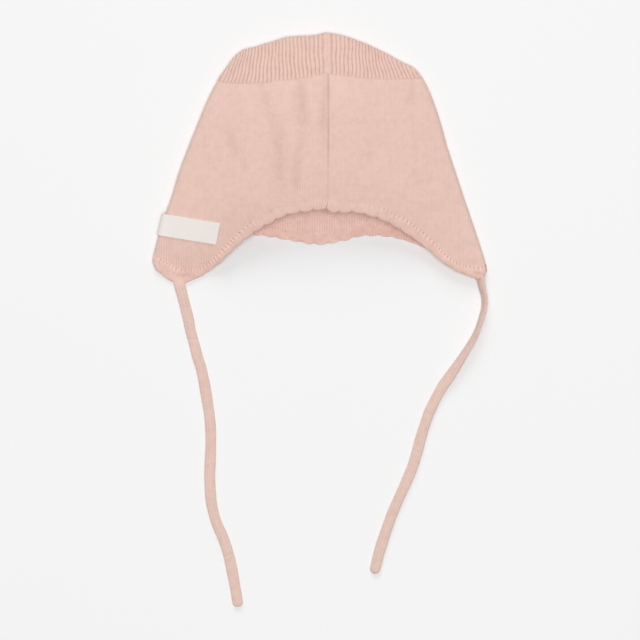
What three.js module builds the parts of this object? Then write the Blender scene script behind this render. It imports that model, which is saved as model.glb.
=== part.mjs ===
// A baby's knitted bonnet, lying flat on its back with both layers slightly puffed apart.
//
// The bonnet is one tube of fine cotton knit, seamed down the centre front. Its crown is 1x1 rib,
// closed along the top, its lower edge runs down into two ear flaps, and a folded trim with small
// scallops borders that whole edge. A flat knitted tie leaves each ear flap, and a bare woven label
// is sewn on the left flap, round the fold.
//
// Millimetres. +Z is up from the surface that the bonnet lies on, +Y runs from the opening to the
// crown and +X to the right. The origin is at the middle of the footprint without the ties.

import * as THREE from "three";
import { mergeVertices } from "three/addons/utils/BufferGeometryUtils.js";

// ---- Driving dimensions -------------------------------------------------------------------

const KNIT_WALL = 1.4; // plain knit of the body
const RIB_WALL = 2.0; // rib knit of the crown
const TRIM_WALL = 2.2; // folded double edge
const GAP = 0.3; // clearance between pieces that are sewn to each other
const LINK_GAP = 0.6; // the same, where the body meets the curved trim

const CROWN_RISE = 55; // distance below the top where the front reaches its full height
const RIB_CURVE = 1.4; // above 1, a rib does most of its leaning low down

const SCALLOP_PITCH = 8.3;
const SCALLOP_DEPTH = 1.1;
const STRETCHED = { from: 38, to: 62, share: 0.3 }; // along the flaps the scallops are pulled flat

const SEAM_X = 5.4;
const SEAM_SLOT = 1.8; // opening in the front that the seam closes
const SEAM_WEB = 1.2;
const SEAM_RIDGE_WIDTH = 3.6;
const SEAM_RIDGE_DEPTH = 1.0;

const LABEL_CLOTH = 0.5;
const TIE_WIDTH = 6.6;
const TIE_CLOTH = 2.0;
const TIE_SIDES = 10;
const TIE_STEPS = 66;
const TIE_END_WIDTHS = [0.7, 0.94]; // shares of the width, for the outermost rings of each end

const SAME_POINT = 0.001; // points of a grid that are this near each other are one

// ---- Tables -------------------------------------------------------------------------------

// Cross-sections from the crown down to the flaps: the two side folds, the radius of each fold,
// and how far the front layer stands above them at the middle.
const SECTIONS = [
  { y: 82, left: -42.6, right: 39.2, leftFold: 2.2, rightFold: 2.2, dome: 17.0 },
  { y: 69, left: -50.6, right: 50.7, leftFold: 2.2, rightFold: 2.2, dome: 17.0 },
  { y: 58, left: -58.2, right: 59.0, leftFold: 2.2, rightFold: 2.2, dome: 17.0 },
  { y: 49, left: -64.7, right: 66.1, leftFold: 2.2, rightFold: 2.2, dome: 17.0 },
  { y: 36, left: -71.4, right: 72.0, leftFold: 2.2, rightFold: 2.2, dome: 17.0 },
  { y: 20, left: -78.1, right: 77.2, leftFold: 2.2, rightFold: 2.2, dome: 17.0 },
  { y: 5, left: -84.0, right: 81.4, leftFold: 2.2, rightFold: 2.2, dome: 16.8 },
  { y: -10, left: -89.6, right: 86.4, leftFold: 2.2, rightFold: 2.2, dome: 16.2 },
  { y: -26, left: -94.4, right: 91.6, leftFold: 2.1, rightFold: 2.1, dome: 14.8 },
  { y: -36, left: -98.1, right: 95.1, leftFold: 2.0, rightFold: 2.0, dome: 12.8 },
  { y: -48, left: -101.9, right: 99.1, leftFold: 1.9, rightFold: 1.9, dome: 9.5 },
  { y: -58, left: -104.6, right: 102.4, leftFold: 1.8, rightFold: 1.8, dome: 6.6 },
  { y: -66, left: -106.2, right: 104.8, leftFold: 1.7, rightFold: 1.8, dome: 4.6 },
  { y: -72, left: -106.4, right: 106.1, leftFold: 1.7, rightFold: 1.7, dome: 3.2 },
  { y: -81, left: -106.4, right: 106.3, leftFold: 1.7, rightFold: 1.7, dome: 2.0 },
];

// Where rib meets plain knit: across is -1 at the left fold and 1 at the right one.
const RIB_LINE = [
  { across: -1.0, y: 48.6 },
  { across: -0.9, y: 47.7 },
  { across: -0.75, y: 47.1 },
  { across: -0.6, y: 47.1 },
  { across: -0.5, y: 47.5 },
  { across: -0.42, y: 48.6 },
  { across: -0.3, y: 49.4 },
  { across: -0.2, y: 50.2 },
  { across: -0.12, y: 50.6 },
  { across: -0.06, y: 51.3 },
  { across: 0.0, y: 52.8 },
  { across: 0.06, y: 53.2 },
  { across: 0.12, y: 52.4 },
  { across: 0.2, y: 52.0 },
  { across: 0.3, y: 51.2 },
  { across: 0.4, y: 50.3 },
  { across: 0.65, y: 49.8 },
  { across: 0.8, y: 50.0 },
  { across: 1.0, y: 50.6 },
];

// The closed top of the crown, and where each rib reaches it.
const CROWN_TOP = [
  { across: -1.0, x: -57.6, y: 59.3 },
  { across: -0.94, x: -54.6, y: 63.3 },
  { across: -0.87, x: -50.4, y: 67.1 },
  { across: -0.79, x: -46.9, y: 68.8 },
  { across: -0.67, x: -41.0, y: 70.1 },
  { across: -0.55, x: -34.3, y: 72.2 },
  { across: -0.44, x: -28.1, y: 74.1 },
  { across: -0.32, x: -21.5, y: 76.2 },
  { across: -0.21, x: -14.6, y: 76.9 },
  { across: -0.1, x: -7.4, y: 77.2 },
  { across: -0.02, x: -1.6, y: 77.6 },
  { across: 0.02, x: 1.2, y: 78.5 },
  { across: 0.065, x: 4.2, y: 79.1 },
  { across: 0.11, x: 7.3, y: 78.8 },
  { across: 0.22, x: 15.0, y: 77.2 },
  { across: 0.34, x: 22.6, y: 74.6 },
  { across: 0.48, x: 29.7, y: 71.9 },
  { across: 0.62, x: 36.9, y: 68.6 },
  { across: 0.74, x: 43.3, y: 65.4 },
  { across: 0.85, x: 51.6, y: 60.7 },
  { across: 0.95, x: 58.9, y: 57.3 },
  { across: 1.0, x: 61.9, y: 54.6 },
];

// The lower edge, from the left fold along the front to the seam, from the seam to the right fold,
// and back along the rear. "edge" is the outside of the trim and "link" the line where it is
// joined to the body.
const RIM_FRONT_LEFT = [
  { edgeX: -106.3, edgeY: -67.6, linkX: -105.6, linkY: -62.2 },
  { edgeX: -104.6, edgeY: -71.6, linkX: -101.6, linkY: -64.8 },
  { edgeX: -99.4, edgeY: -76.0, linkX: -96.6, linkY: -67.8 },
  { edgeX: -94.4, edgeY: -79.3, linkX: -92.0, linkY: -70.3 },
  { edgeX: -89.3, edgeY: -80.6, linkX: -86.6, linkY: -71.6 },
  { edgeX: -81.6, edgeY: -78.2, linkX: -80.6, linkY: -71.4 },
  { edgeX: -73.9, edgeY: -74.6, linkX: -75.0, linkY: -69.2 },
  { edgeX: -66.2, edgeY: -69.2, linkX: -68.8, linkY: -64.8 },
  { edgeX: -58.6, edgeY: -62.3, linkX: -62.2, linkY: -58.4 },
  { edgeX: -50.9, edgeY: -54.8, linkX: -55.2, linkY: -50.9 },
  { edgeX: -42.6, edgeY: -48.6, linkX: -46.8, linkY: -43.5 },
  { edgeX: -33.0, edgeY: -42.6, linkX: -36.6, linkY: -36.6 },
  { edgeX: -21.5, edgeY: -37.2, linkX: -23.8, linkY: -30.9 },
  { edgeX: -8.0, edgeY: -34.4, linkX: -8.8, linkY: -27.7 },
  { edgeX: 3.4, edgeY: -33.3, linkX: 4.5, linkY: -26.5 },
];
const RIM_FRONT_RIGHT = [
  { edgeX: 4.8, edgeY: -33.6, linkX: 6.3, linkY: -26.6 },
  { edgeX: 12.5, edgeY: -35.2, linkX: 13.4, linkY: -27.1 },
  { edgeX: 20.0, edgeY: -35.2, linkX: 20.6, linkY: -27.8 },
  { edgeX: 32.0, edgeY: -37.3, linkX: 34.2, linkY: -30.5 },
  { edgeX: 43.8, edgeY: -41.8, linkX: 46.9, linkY: -35.3 },
  { edgeX: 55.4, edgeY: -48.5, linkX: 58.9, linkY: -41.9 },
  { edgeX: 65.6, edgeY: -56.0, linkX: 68.4, linkY: -49.6 },
  { edgeX: 72.6, edgeY: -61.6, linkX: 75.4, linkY: -56.2 },
  { edgeX: 78.2, edgeY: -66.6, linkX: 80.2, linkY: -61.6 },
  { edgeX: 84.0, edgeY: -70.5, linkX: 84.8, linkY: -65.2 },
  { edgeX: 90.4, edgeY: -73.6, linkX: 90.0, linkY: -67.9 },
  { edgeX: 96.6, edgeY: -76.0, linkX: 95.4, linkY: -69.4 },
  { edgeX: 101.4, edgeY: -77.4, linkX: 99.8, linkY: -70.2 },
  { edgeX: 104.6, edgeY: -76.6, linkX: 103.2, linkY: -69.8 },
  { edgeX: 106.1, edgeY: -73.6, linkX: 105.4, linkY: -68.6 },
];
const RIM_REAR = [
  { edgeX: 106.1, edgeY: -73.6, linkX: 105.4, linkY: -68.6 },
  { edgeX: 104.4, edgeY: -75.4, linkX: 103.2, linkY: -69.2 },
  { edgeX: 99.6, edgeY: -75.0, linkX: 98.8, linkY: -68.2 },
  { edgeX: 92.0, edgeY: -71.6, linkX: 91.8, linkY: -64.6 },
  { edgeX: 82.0, edgeY: -66.0, linkX: 82.6, linkY: -58.8 },
  { edgeX: 71.0, edgeY: -59.6, linkX: 72.6, linkY: -52.5 },
  { edgeX: 60.5, edgeY: -54.8, linkX: 62.2, linkY: -47.8 },
  { edgeX: 49.0, edgeY: -51.2, linkX: 50.0, linkY: -44.0 },
  { edgeX: 37.4, edgeY: -49.6, linkX: 37.4, linkY: -42.4 },
  { edgeX: 25.9, edgeY: -50.1, linkX: 25.0, linkY: -43.1 },
  { edgeX: 14.4, edgeY: -52.9, linkX: 12.8, linkY: -46.1 },
  { edgeX: 1.6, edgeY: -55.1, linkX: 1.2, linkY: -48.0 },
  { edgeX: -12.5, edgeY: -53.8, linkX: -11.4, linkY: -46.7 },
  { edgeX: -27.8, edgeY: -50.9, linkX: -27.0, linkY: -43.7 },
  { edgeX: -42.6, edgeY: -49.2, linkX: -42.2, linkY: -42.0 },
  { edgeX: -58.0, edgeY: -49.4, linkX: -58.0, linkY: -42.2 },
  { edgeX: -74.0, edgeY: -50.8, linkX: -74.8, linkY: -43.8 },
  { edgeX: -88.0, edgeY: -54.4, linkX: -89.2, linkY: -47.6 },
  { edgeX: -98.4, edgeY: -60.0, linkX: -99.0, linkY: -53.8 },
  { edgeX: -104.0, edgeY: -64.6, linkX: -103.6, linkY: -59.0 },
  { edgeX: -106.3, edgeY: -67.6, linkX: -105.6, linkY: -62.2 },
];

// Soft creases that run down the front layer.
const CREASES = [
  { x: -13.0, top: 56, bottom: 12, width: 5.0, depth: 1.2 },
  { x: -26.0, top: 26, bottom: -36, width: 6.0, depth: 1.0 },
  { x: -17.0, top: -3, bottom: -26, width: 4.0, depth: 0.7 },
  { x: 58.5, top: 54, bottom: 26, width: 5.0, depth: 0.8 },
];

// Below the left fold the flap is a single layer, which sinks to the surface towards its tip.
const FLAP_DROOP = { innerX: -48, outerX: -70, topY: -62, bottomY: -76 };

const LABEL_CORNERS = {
  foldTop: { x: -98.9, y: -36.0 },
  foldBottom: { x: -103.2, y: -49.6 },
  frontTop: { x: -63.5, y: -41.7 },
  frontBottom: { x: -66.3, y: -55.2 },
};

// Centre lines of the ties, from the flap to the free end, with the height of the middle of the
// cloth and how far it is turned out of flat, in degrees.
const LEFT_TIE = [
  { x: -89.8, y: -81.2, z: 1.5, turn: 0 },
  { x: -88.4, y: -86.0, z: 1.2, turn: 0 },
  { x: -86.2, y: -94.7, z: 1.05, turn: 0 },
  { x: -84.2, y: -102.4, z: 1.05, turn: 0 },
  { x: -82.8, y: -110.1, z: 1.05, turn: 0 },
  { x: -80.5, y: -118.4, z: 1.05, turn: 0 },
  { x: -78.4, y: -126.7, z: 1.05, turn: 0 },
  { x: -75.8, y: -135.0, z: 1.05, turn: 0 },
  { x: -73.8, y: -144.6, z: 1.05, turn: 0 },
  { x: -72.3, y: -153.6, z: 1.05, turn: 0 },
  { x: -70.8, y: -163.2, z: 1.05, turn: 0 },
  { x: -69.9, y: -172.8, z: 1.05, turn: 0 },
  { x: -69.8, y: -183.7, z: 1.05, turn: 0 },
  { x: -70.1, y: -193.3, z: 1.05, turn: 0 },
  { x: -70.4, y: -202.9, z: 1.05, turn: 0 },
  { x: -70.1, y: -212.5, z: 1.05, turn: 0 },
  { x: -69.0, y: -222.7, z: 1.05, turn: 0 },
  { x: -66.2, y: -232.9, z: 1.05, turn: 0 },
  { x: -61.9, y: -242.9, z: 1.05, turn: 0 },
  { x: -58.6, y: -252.8, z: 1.05, turn: 0 },
  { x: -56.2, y: -263.7, z: 1.05, turn: 0 },
  { x: -54.1, y: -274.6, z: 1.05, turn: 0 },
  { x: -52.1, y: -287.2, z: 1.05, turn: 0 },
];
const RIGHT_TIE = [
  { x: 102.6, y: -78.0, z: 2.9, turn: 52 },
  { x: 103.9, y: -84.0, z: 3.15, turn: 62 },
  { x: 105.2, y: -89.8, z: 3.2, turn: 66 },
  { x: 105.0, y: -96.0, z: 3.25, turn: 68 },
  { x: 103.4, y: -102.2, z: 3.3, turn: 71 },
  { x: 101.2, y: -109.0, z: 3.25, turn: 69 },
  { x: 98.0, y: -116.2, z: 3.15, turn: 62 },
  { x: 93.5, y: -123.7, z: 3., turn: 55 },
  { x: 88.8, y: -131.2, z: 2.6, turn: 42 },
  { x: 83.8, y: -138.7, z: 2., turn: 26 },
  { x: 78.6, y: -146.2, z: 1.25, turn: 8 },
  { x: 74.3, y: -153.9, z: 1.05, turn: 0 },
  { x: 70.5, y: -161.7, z: 1.05, turn: 0 },
  { x: 67.5, y: -169.9, z: 1.05, turn: 0 },
  { x: 64.7, y: -178.8, z: 1.05, turn: 0 },
  { x: 62.2, y: -188.2, z: 1.05, turn: 0 },
  { x: 59.2, y: -198.0, z: 1.05, turn: 0 },
  { x: 54.7, y: -208.8, z: 1.05, turn: 0 },
  { x: 49.8, y: -219.6, z: 1.05, turn: 0 },
  { x: 45.3, y: -230.4, z: 1.05, turn: 0 },
  { x: 41.5, y: -241.3, z: 1.05, turn: 0 },
  { x: 38.0, y: -252.4, z: 1.05, turn: 0 },
  { x: 34.7, y: -266.0, z: 1.05, turn: 0 },
];

// ---- Reading the tables -------------------------------------------------------------------

const mix = (a, b, t) => a + (b - a) * t;
const clamp01 = (t) => Math.min(1, Math.max(0, t));
const smooth = (t) => clamp01(t) ** 2 * (3 - 2 * clamp01(t));

// A smooth curve through one column of a table, read by another column that rises or falls.
function column(rows, key, name) {
  const sorted = [...rows].sort((a, b) => a[key] - b[key]);
  const at = sorted.map((row) => row[key]);
  const value = sorted.map((row) => row[name]);
  const slope = at.map((_, i) => {
    const before = Math.max(0, i - 1);
    const after = Math.min(at.length - 1, i + 1);
    return (value[after] - value[before]) / (at[after] - at[before]);
  });
  return (where) => {
    const p = Math.min(Math.max(where, at[0]), at[at.length - 1]);
    let i = at.findIndex((a) => a >= p);
    i = Math.max(1, i);
    const span = at[i] - at[i - 1];
    const t = (p - at[i - 1]) / span;
    return (
      value[i - 1] * (1 + 2 * t) * (1 - t) ** 2 +
      slope[i - 1] * span * t * (1 - t) ** 2 +
      value[i] * t ** 2 * (3 - 2 * t) +
      slope[i] * span * t ** 2 * (t - 1)
    );
  };
}

const leftAt = column(SECTIONS, "y", "left");
const rightAt = column(SECTIONS, "y", "right");
const leftFoldAt = column(SECTIONS, "y", "leftFold");
const rightFoldAt = column(SECTIONS, "y", "rightFold");
const domeAt = column(SECTIONS, "y", "dome");
const ribLineAt = column(RIB_LINE, "across", "y");
const topXAt = column(CROWN_TOP, "across", "x");
const topYAt = column(CROWN_TOP, "across", "y");
const topYOver = column(CROWN_TOP, "x", "y");

const acrossAt = (x, y) => (2 * (x - leftAt(y))) / (rightAt(y) - leftAt(y)) - 1;
const xAt = (across, y) => mix(leftAt(y), rightAt(y), (across + 1) / 2);

// The outline where the two layers meet: up the left fold, along the crown and down the right.
function outline() {
  const sideSteps = 48;
  const topSteps = 60;
  const points = [];
  for (let i = 0; i <= sideSteps; i++) {
    const y = mix(RIM_REAR.at(-1).edgeY, CROWN_TOP[0].y, i / sideSteps);
    points.push(new THREE.Vector2(leftAt(y), y));
  }
  for (let i = 1; i < topSteps; i++) {
    const across = mix(-1, 1, i / topSteps);
    points.push(new THREE.Vector2(topXAt(across), topYAt(across)));
  }
  for (let i = 0; i <= sideSteps; i++) {
    const y = mix(CROWN_TOP.at(-1).y, RIM_REAR[0].edgeY, i / sideSteps);
    points.push(new THREE.Vector2(rightAt(y), y));
  }
  return points;
}
const OUTLINE = outline();

function distanceToOutline(x, y) {
  let nearest = Infinity;
  for (let i = 1; i < OUTLINE.length; i++) {
    const a = OUTLINE[i - 1];
    const b = OUTLINE[i];
    const t = clamp01(((x - a.x) * (b.x - a.x) + (y - a.y) * (b.y - a.y)) / a.distanceToSquared(b));
    nearest = Math.min(nearest, Math.hypot(x - mix(a.x, b.x, t), y - mix(a.y, b.y, t)));
  }
  return nearest;
}

// ---- The two layers -----------------------------------------------------------------------

function foldRadius(x, y) {
  return mix(leftFoldAt(y), rightFoldAt(y), clamp01((acrossAt(x, y) + 1) / 2));
}

// How far a fold of the given radius has turned, 0 at the outline and the full radius inside it.
function foldTurn(distance, radius) {
  const left = radius - Math.min(distance, radius);
  return Math.sqrt(Math.max(0, radius * radius - left * left));
}

function creaseDepth(x, y) {
  let depth = 0;
  for (const crease of CREASES) {
    const middle = (crease.top + crease.bottom) / 2;
    const reach = (crease.top - crease.bottom) / 2;
    const along = smooth(1.3 * (1 - Math.abs(y - middle) / reach));
    depth += crease.depth * along * Math.exp(-(((x - crease.x) / crease.width) ** 2));
  }
  return depth;
}

function flapDroop(x, y) {
  const { innerX, outerX, topY, bottomY } = FLAP_DROOP;
  return smooth((x - innerX) / (outerX - innerX)) * smooth((y - topY) / (bottomY - topY));
}

// Height of the front layer's middle, for a wall whose rear layer has its middle at base.
function frontHeight(x, y, base) {
  const radius = foldRadius(x, y);
  const across = Math.max(-1, Math.min(1, acrossAt(x, y)));
  const below = clamp01((topYOver(x) - y) / CROWN_RISE);
  const dome = domeAt(y) * (1 - across * across) * (1 - (1 - below) ** 2);
  const lift = radius + foldTurn(distanceToOutline(x, y), radius) + dome - creaseDepth(x, y) * below;
  return base + lift * (1 - flapDroop(x, y));
}

function rearHeight(x, y, base) {
  const radius = foldRadius(x, y);
  return base + radius - foldTurn(distanceToOutline(x, y), radius);
}

const layerPoint = (x, y, front, base) =>
  new THREE.Vector3(x, y, front ? frontHeight(x, y, base) : rearHeight(x, y, base));
const foldPoint = (x, y, base) => new THREE.Vector3(x, y, base + foldRadius(x, y));

// ---- Walls from a middle surface ----------------------------------------------------------

// A closed solid of even thickness round a grid of points, rows of equal length. Points that lie
// on each other are joined, so a grid may close on itself.
function thicken(rows, thickness) {
  const points = [];
  const found = new Map();
  const indexOf = (point) => {
    const key = point.toArray().map((value) => Math.round(value / SAME_POINT)).join();
    if (!found.has(key)) {
      found.set(key, points.length);
      points.push(point);
    }
    return found.get(key);
  };
  const grid = rows.map((row) => row.map(indexOf));
  const triangles = [];
  for (let i = 1; i < grid.length; i++)
    for (let j = 1; j < grid[i].length; j++) {
      const [a, b, c, d] = [grid[i - 1][j - 1], grid[i - 1][j], grid[i][j], grid[i][j - 1]];
      for (const t of [[a, b, c], [a, c, d]]) if (new Set(t).size === 3) triangles.push(t);
    }

  const normals = points.map(() => new THREE.Vector3());
  const edges = new Map();
  for (const [a, b, c] of triangles) {
    const across = points[b].clone().sub(points[a]).cross(points[c].clone().sub(points[a]));
    for (const i of [a, b, c]) normals[i].add(across);
    for (const [from, to] of [[a, b], [b, c], [c, a]]) {
      if (!edges.delete(to + " " + from)) edges.set(from + " " + to, [from, to]);
    }
  }

  const positions = [];
  const add = (index, side) => {
    const out = normals[index].clone().normalize().multiplyScalar((side * thickness) / 2);
    positions.push(...points[index].clone().add(out).toArray());
  };
  for (const [a, b, c] of triangles) {
    for (const i of [a, b, c]) add(i, 1);
    for (const i of [c, b, a]) add(i, -1);
  }
  for (const [from, to] of edges.values()) {
    for (const [i, side] of [[to, 1], [from, 1], [from, -1], [to, 1], [from, -1], [to, -1]]) add(i, side);
  }
  return geometryOf(positions);
}

function geometryOf(positions) {
  const attribute = new THREE.Float32BufferAttribute(positions, 3);
  return new THREE.BufferGeometry().setAttribute("position", attribute);
}

// Places from 0 to 1 that crowd towards an end where a fold is.
function places(count, foldAtStart, foldAtEnd, foldShare) {
  const near = [0, 0.25, 0.75, 1.7].map((step) => step * foldShare);
  const from = foldAtStart ? near.at(-1) : 0;
  const to = foldAtEnd ? 1 - near.at(-1) : 1;
  const list = foldAtStart ? near.slice(0, -1) : [];
  for (let i = 0; i <= count; i++) list.push(mix(from, to, i / count));
  if (foldAtEnd) list.push(...near.slice(0, -1).reverse().map((step) => 1 - step));
  return list;
}

// ---- The lower edge -----------------------------------------------------------------------

// One stretch of the lower edge: its outside and its link line, read by one place from 0 to 1.
function rim(rows, front) {
  const curve = (x, y) => {
    const points = rows.map((row) => new THREE.Vector3(row[x], row[y], 0));
    return new THREE.CatmullRomCurve3(points, false, "centripetal");
  };
  const edge = curve("edgeX", "edgeY");
  const link = curve("linkX", "linkY");
  return { front, edge: (t) => edge.getPoint(t), link: (t) => link.getPoint(t), length: edge.getLength() };
}
const FRONT_LEFT = rim(RIM_FRONT_LEFT, true);
const FRONT_RIGHT = rim(RIM_FRONT_RIGHT, true);
const REAR = rim(RIM_REAR, false);

// The share of a stretch's length that lies before a place on it.
function lengthShare(stretch, place) {
  const steps = 240;
  let total = 0;
  let before = 0;
  for (let i = 1; i <= steps; i++) {
    const step = stretch.edge((i - 1) / steps).distanceTo(stretch.edge(i / steps));
    total += step;
    before += step * clamp01(place * steps - (i - 1));
  }
  return before / total;
}

// The outside of the trim, moved out and in by the scallops. Cusps fall on whole numbers of lobes.
function scalloped(stretch, place) {
  const lobes = Math.round(stretch.length / SCALLOP_PITCH);
  const phase = lengthShare(stretch, place) * lobes;
  const lobe = Math.abs(Math.sin(Math.PI * phase)) - 0.5;
  const edge = stretch.edge(place);
  const stretched = smooth((Math.abs(edge.x) - STRETCHED.from) / (STRETCHED.to - STRETCHED.from));
  const depth = SCALLOP_DEPTH * mix(1, STRETCHED.share, stretched);
  const inward = stretch.link(place).sub(edge).normalize();
  return edge.sub(inward.multiplyScalar(depth * lobe));
}

// Where the body ends: past the link line along the trim's stitches, far enough to clear it.
function bodyFoot(stretch, place) {
  const near = 0.004; // share of the stretch that its direction is measured over
  const link = stretch.link(place);
  const along = stretch.link(Math.min(1, place + near)).sub(stretch.link(Math.max(0, place - near)));
  const stitch = link.clone().sub(stretch.edge(place)).normalize();
  const squareness = Math.abs(along.normalize().cross(stitch).z);
  return link.addScaledVector(stitch, LINK_GAP / squareness);
}

// ---- Pieces -------------------------------------------------------------------------------

function bodyGeometry() {
  const base = KNIT_WALL / 2;
  const rowCount = 12;
  const halfSlot = SEAM_SLOT / 2;
  const stretches = [
    { part: FRONT_RIGHT, at: places(19, false, true, 0.02), from: "seam", to: "right" },
    { part: REAR, at: places(32, true, true, 0.012), from: "right", to: "left" },
    { part: FRONT_LEFT, at: places(20, true, false, 0.018), from: "left", to: "seam" },
  ];
  const sideX = { left: leftAt, right: rightAt };
  const rows = Array.from({ length: rowCount + 1 }, () => []);
  for (const { part, at, from, to } of stretches)
    for (const [index, place] of at.entries()) {
      if (index === 0 && from !== "seam") continue; // the fold is shared with the stretch before
      const ends = { 0: from, 1: to }[place];
      const foot = bodyFoot(part, place);
      const across = acrossAt(foot.x, foot.y);
      for (let i = 0; i <= rowCount; i++) {
        const y = mix(foot.y, ribLineAt(across) - GAP, i / rowCount);
        if (sideX[ends]) rows[i].push(foldPoint(sideX[ends](y), y, base));
        else if (ends === "seam") {
          const x = SEAM_X + (place === 0 ? halfSlot : -halfSlot);
          rows[i].push(layerPoint(x, y, true, base));
        } else rows[i].push(layerPoint(xAt(across, y), y, part.front, base));
      }
    }
  return thicken(rows, KNIT_WALL);
}

function trimGeometry() {
  const base = TRIM_WALL / 2;
  const perLobe = 4;
  const rows = [[], []];
  for (const part of [FRONT_RIGHT, REAR, FRONT_LEFT]) {
    const count = Math.round(part.length / SCALLOP_PITCH) * perLobe;
    for (let i = rows[0].length ? 1 : 0; i <= count; i++) {
      const place = i / count;
      const onFold = part === REAR ? i === count : part === FRONT_RIGHT && i === count;
      const across = [scalloped(part, place), part.link(place)];
      for (const [row, { x, y }] of across.entries()) {
        rows[row].push(onFold ? foldPoint(x, y, base) : layerPoint(x, y, part.front, base));
      }
    }
  }
  return thicken(rows, TRIM_WALL);
}

function crownGeometry() {
  const base = RIB_WALL / 2;
  const across = places(34, true, true, 0.02).map((t) => mix(-1, 1, t));
  const up = places(6, false, true, 0.1);
  const point = (s, share, front) => {
    const bottom = ribLineAt(s) + GAP;
    const y = mix(bottom, topYAt(s), share);
    if (s === -1) return foldPoint(leftAt(y), y, base);
    if (s === 1) return foldPoint(rightAt(y), y, base);
    const lean = 1 - (1 - share) ** mix(RIB_CURVE, 1, Math.abs(s) ** 3);
    const x = mix(xAt(s, bottom), topXAt(s), lean);
    return share === 1 ? foldPoint(x, y, base) : layerPoint(x, y, front, base);
  };
  const rows = up.map((share) => [
    ...across.map((s) => point(s, share, true)),
    ...across.toReversed().slice(1).map((s) => point(s, share, false)),
  ]);
  return thicken(rows, RIB_WALL);
}

// The seam fills the slot with a narrow web, and its allowance is a low ridge on the inside.
function seamGeometry() {
  const bottom = (RIM_FRONT_LEFT.at(-1).linkY + RIM_FRONT_RIGHT[0].linkY) / 2 + GAP;
  const top = ribLineAt(acrossAt(SEAM_X, ribLineAt(0))) - 2 * GAP;
  const under = -KNIT_WALL / 2 - GAP;
  const section = [
    [-SEAM_WEB / 2, KNIT_WALL / 2],
    [-SEAM_WEB / 2, under],
    [-SEAM_RIDGE_WIDTH / 2, under],
    [-SEAM_RIDGE_WIDTH / 2, under - SEAM_RIDGE_DEPTH],
    [SEAM_RIDGE_WIDTH / 2, under - SEAM_RIDGE_DEPTH],
    [SEAM_RIDGE_WIDTH / 2, under],
    [SEAM_WEB / 2, under],
    [SEAM_WEB / 2, KNIT_WALL / 2],
  ];
  const steps = 14;
  const positions = [];
  const ring = (i) => {
    const y = mix(bottom, top, i / steps);
    return section.map(([dx, dz]) => {
      const z = frontHeight(SEAM_X + dx, y, KNIT_WALL / 2) + dz;
      return [SEAM_X + dx, y, z];
    });
  };
  for (let i = 0; i < steps; i++) {
    const [a, b] = [ring(i), ring(i + 1)];
    for (let j = 0; j < section.length; j++) {
      const k = (j + 1) % section.length;
      positions.push(...a[j], ...b[k], ...a[k], ...a[j], ...b[j], ...b[k]);
    }
  }
  const flat = section.map(([dx, dz]) => new THREE.Vector2(dx, dz));
  const cap = THREE.ShapeUtils.triangulateShape(flat, []);
  for (const [i, forward] of [[0, true], [steps, false]]) {
    const points = ring(i);
    for (const [a, b, c] of cap) {
      const order = forward ? [a, b, c] : [c, b, a];
      for (const index of order) positions.push(...points[index]);
    }
  }
  return geometryOf(positions);
}

// A strip that lies on the body, from its front end to the outermost line of the left fold.
function labelGeometry() {
  const above = KNIT_WALL / 2 + GAP + LABEL_CLOTH / 2;
  const { foldTop, foldBottom, frontTop, frontBottom } = LABEL_CORNERS;
  const surface = (along, up) => {
    const y = mix(mix(foldBottom.y, foldTop.y, up), mix(frontBottom.y, frontTop.y, up), along);
    const inner = mix(frontBottom.x, frontTop.x, up);
    const x = mix(leftAt(y), inner, along);
    return layerPoint(x, y, true, KNIT_WALL / 2);
  };
  const alongList = places(9, true, false, 0.045);
  const upCount = 3;
  const rows = [];
  for (let i = 0; i <= upCount; i++) {
    const up = i / upCount;
    rows.push(
      alongList.map((along) => {
        const here = surface(along, up);
        const step = 0.004;
        const alongStep = surface(along + step, up).sub(along < step ? here : surface(along - step, up));
        const upStep = surface(along, Math.min(1, up + 0.02)).sub(surface(along, Math.max(0, up - 0.02)));
        const out = alongStep.cross(upStep).normalize();
        if (along === 0) out.set(-1, 0, 0);
        return here.add(out.multiplyScalar(above));
      }),
    );
  }
  return thicken(rows, LABEL_CLOTH);
}

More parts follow.
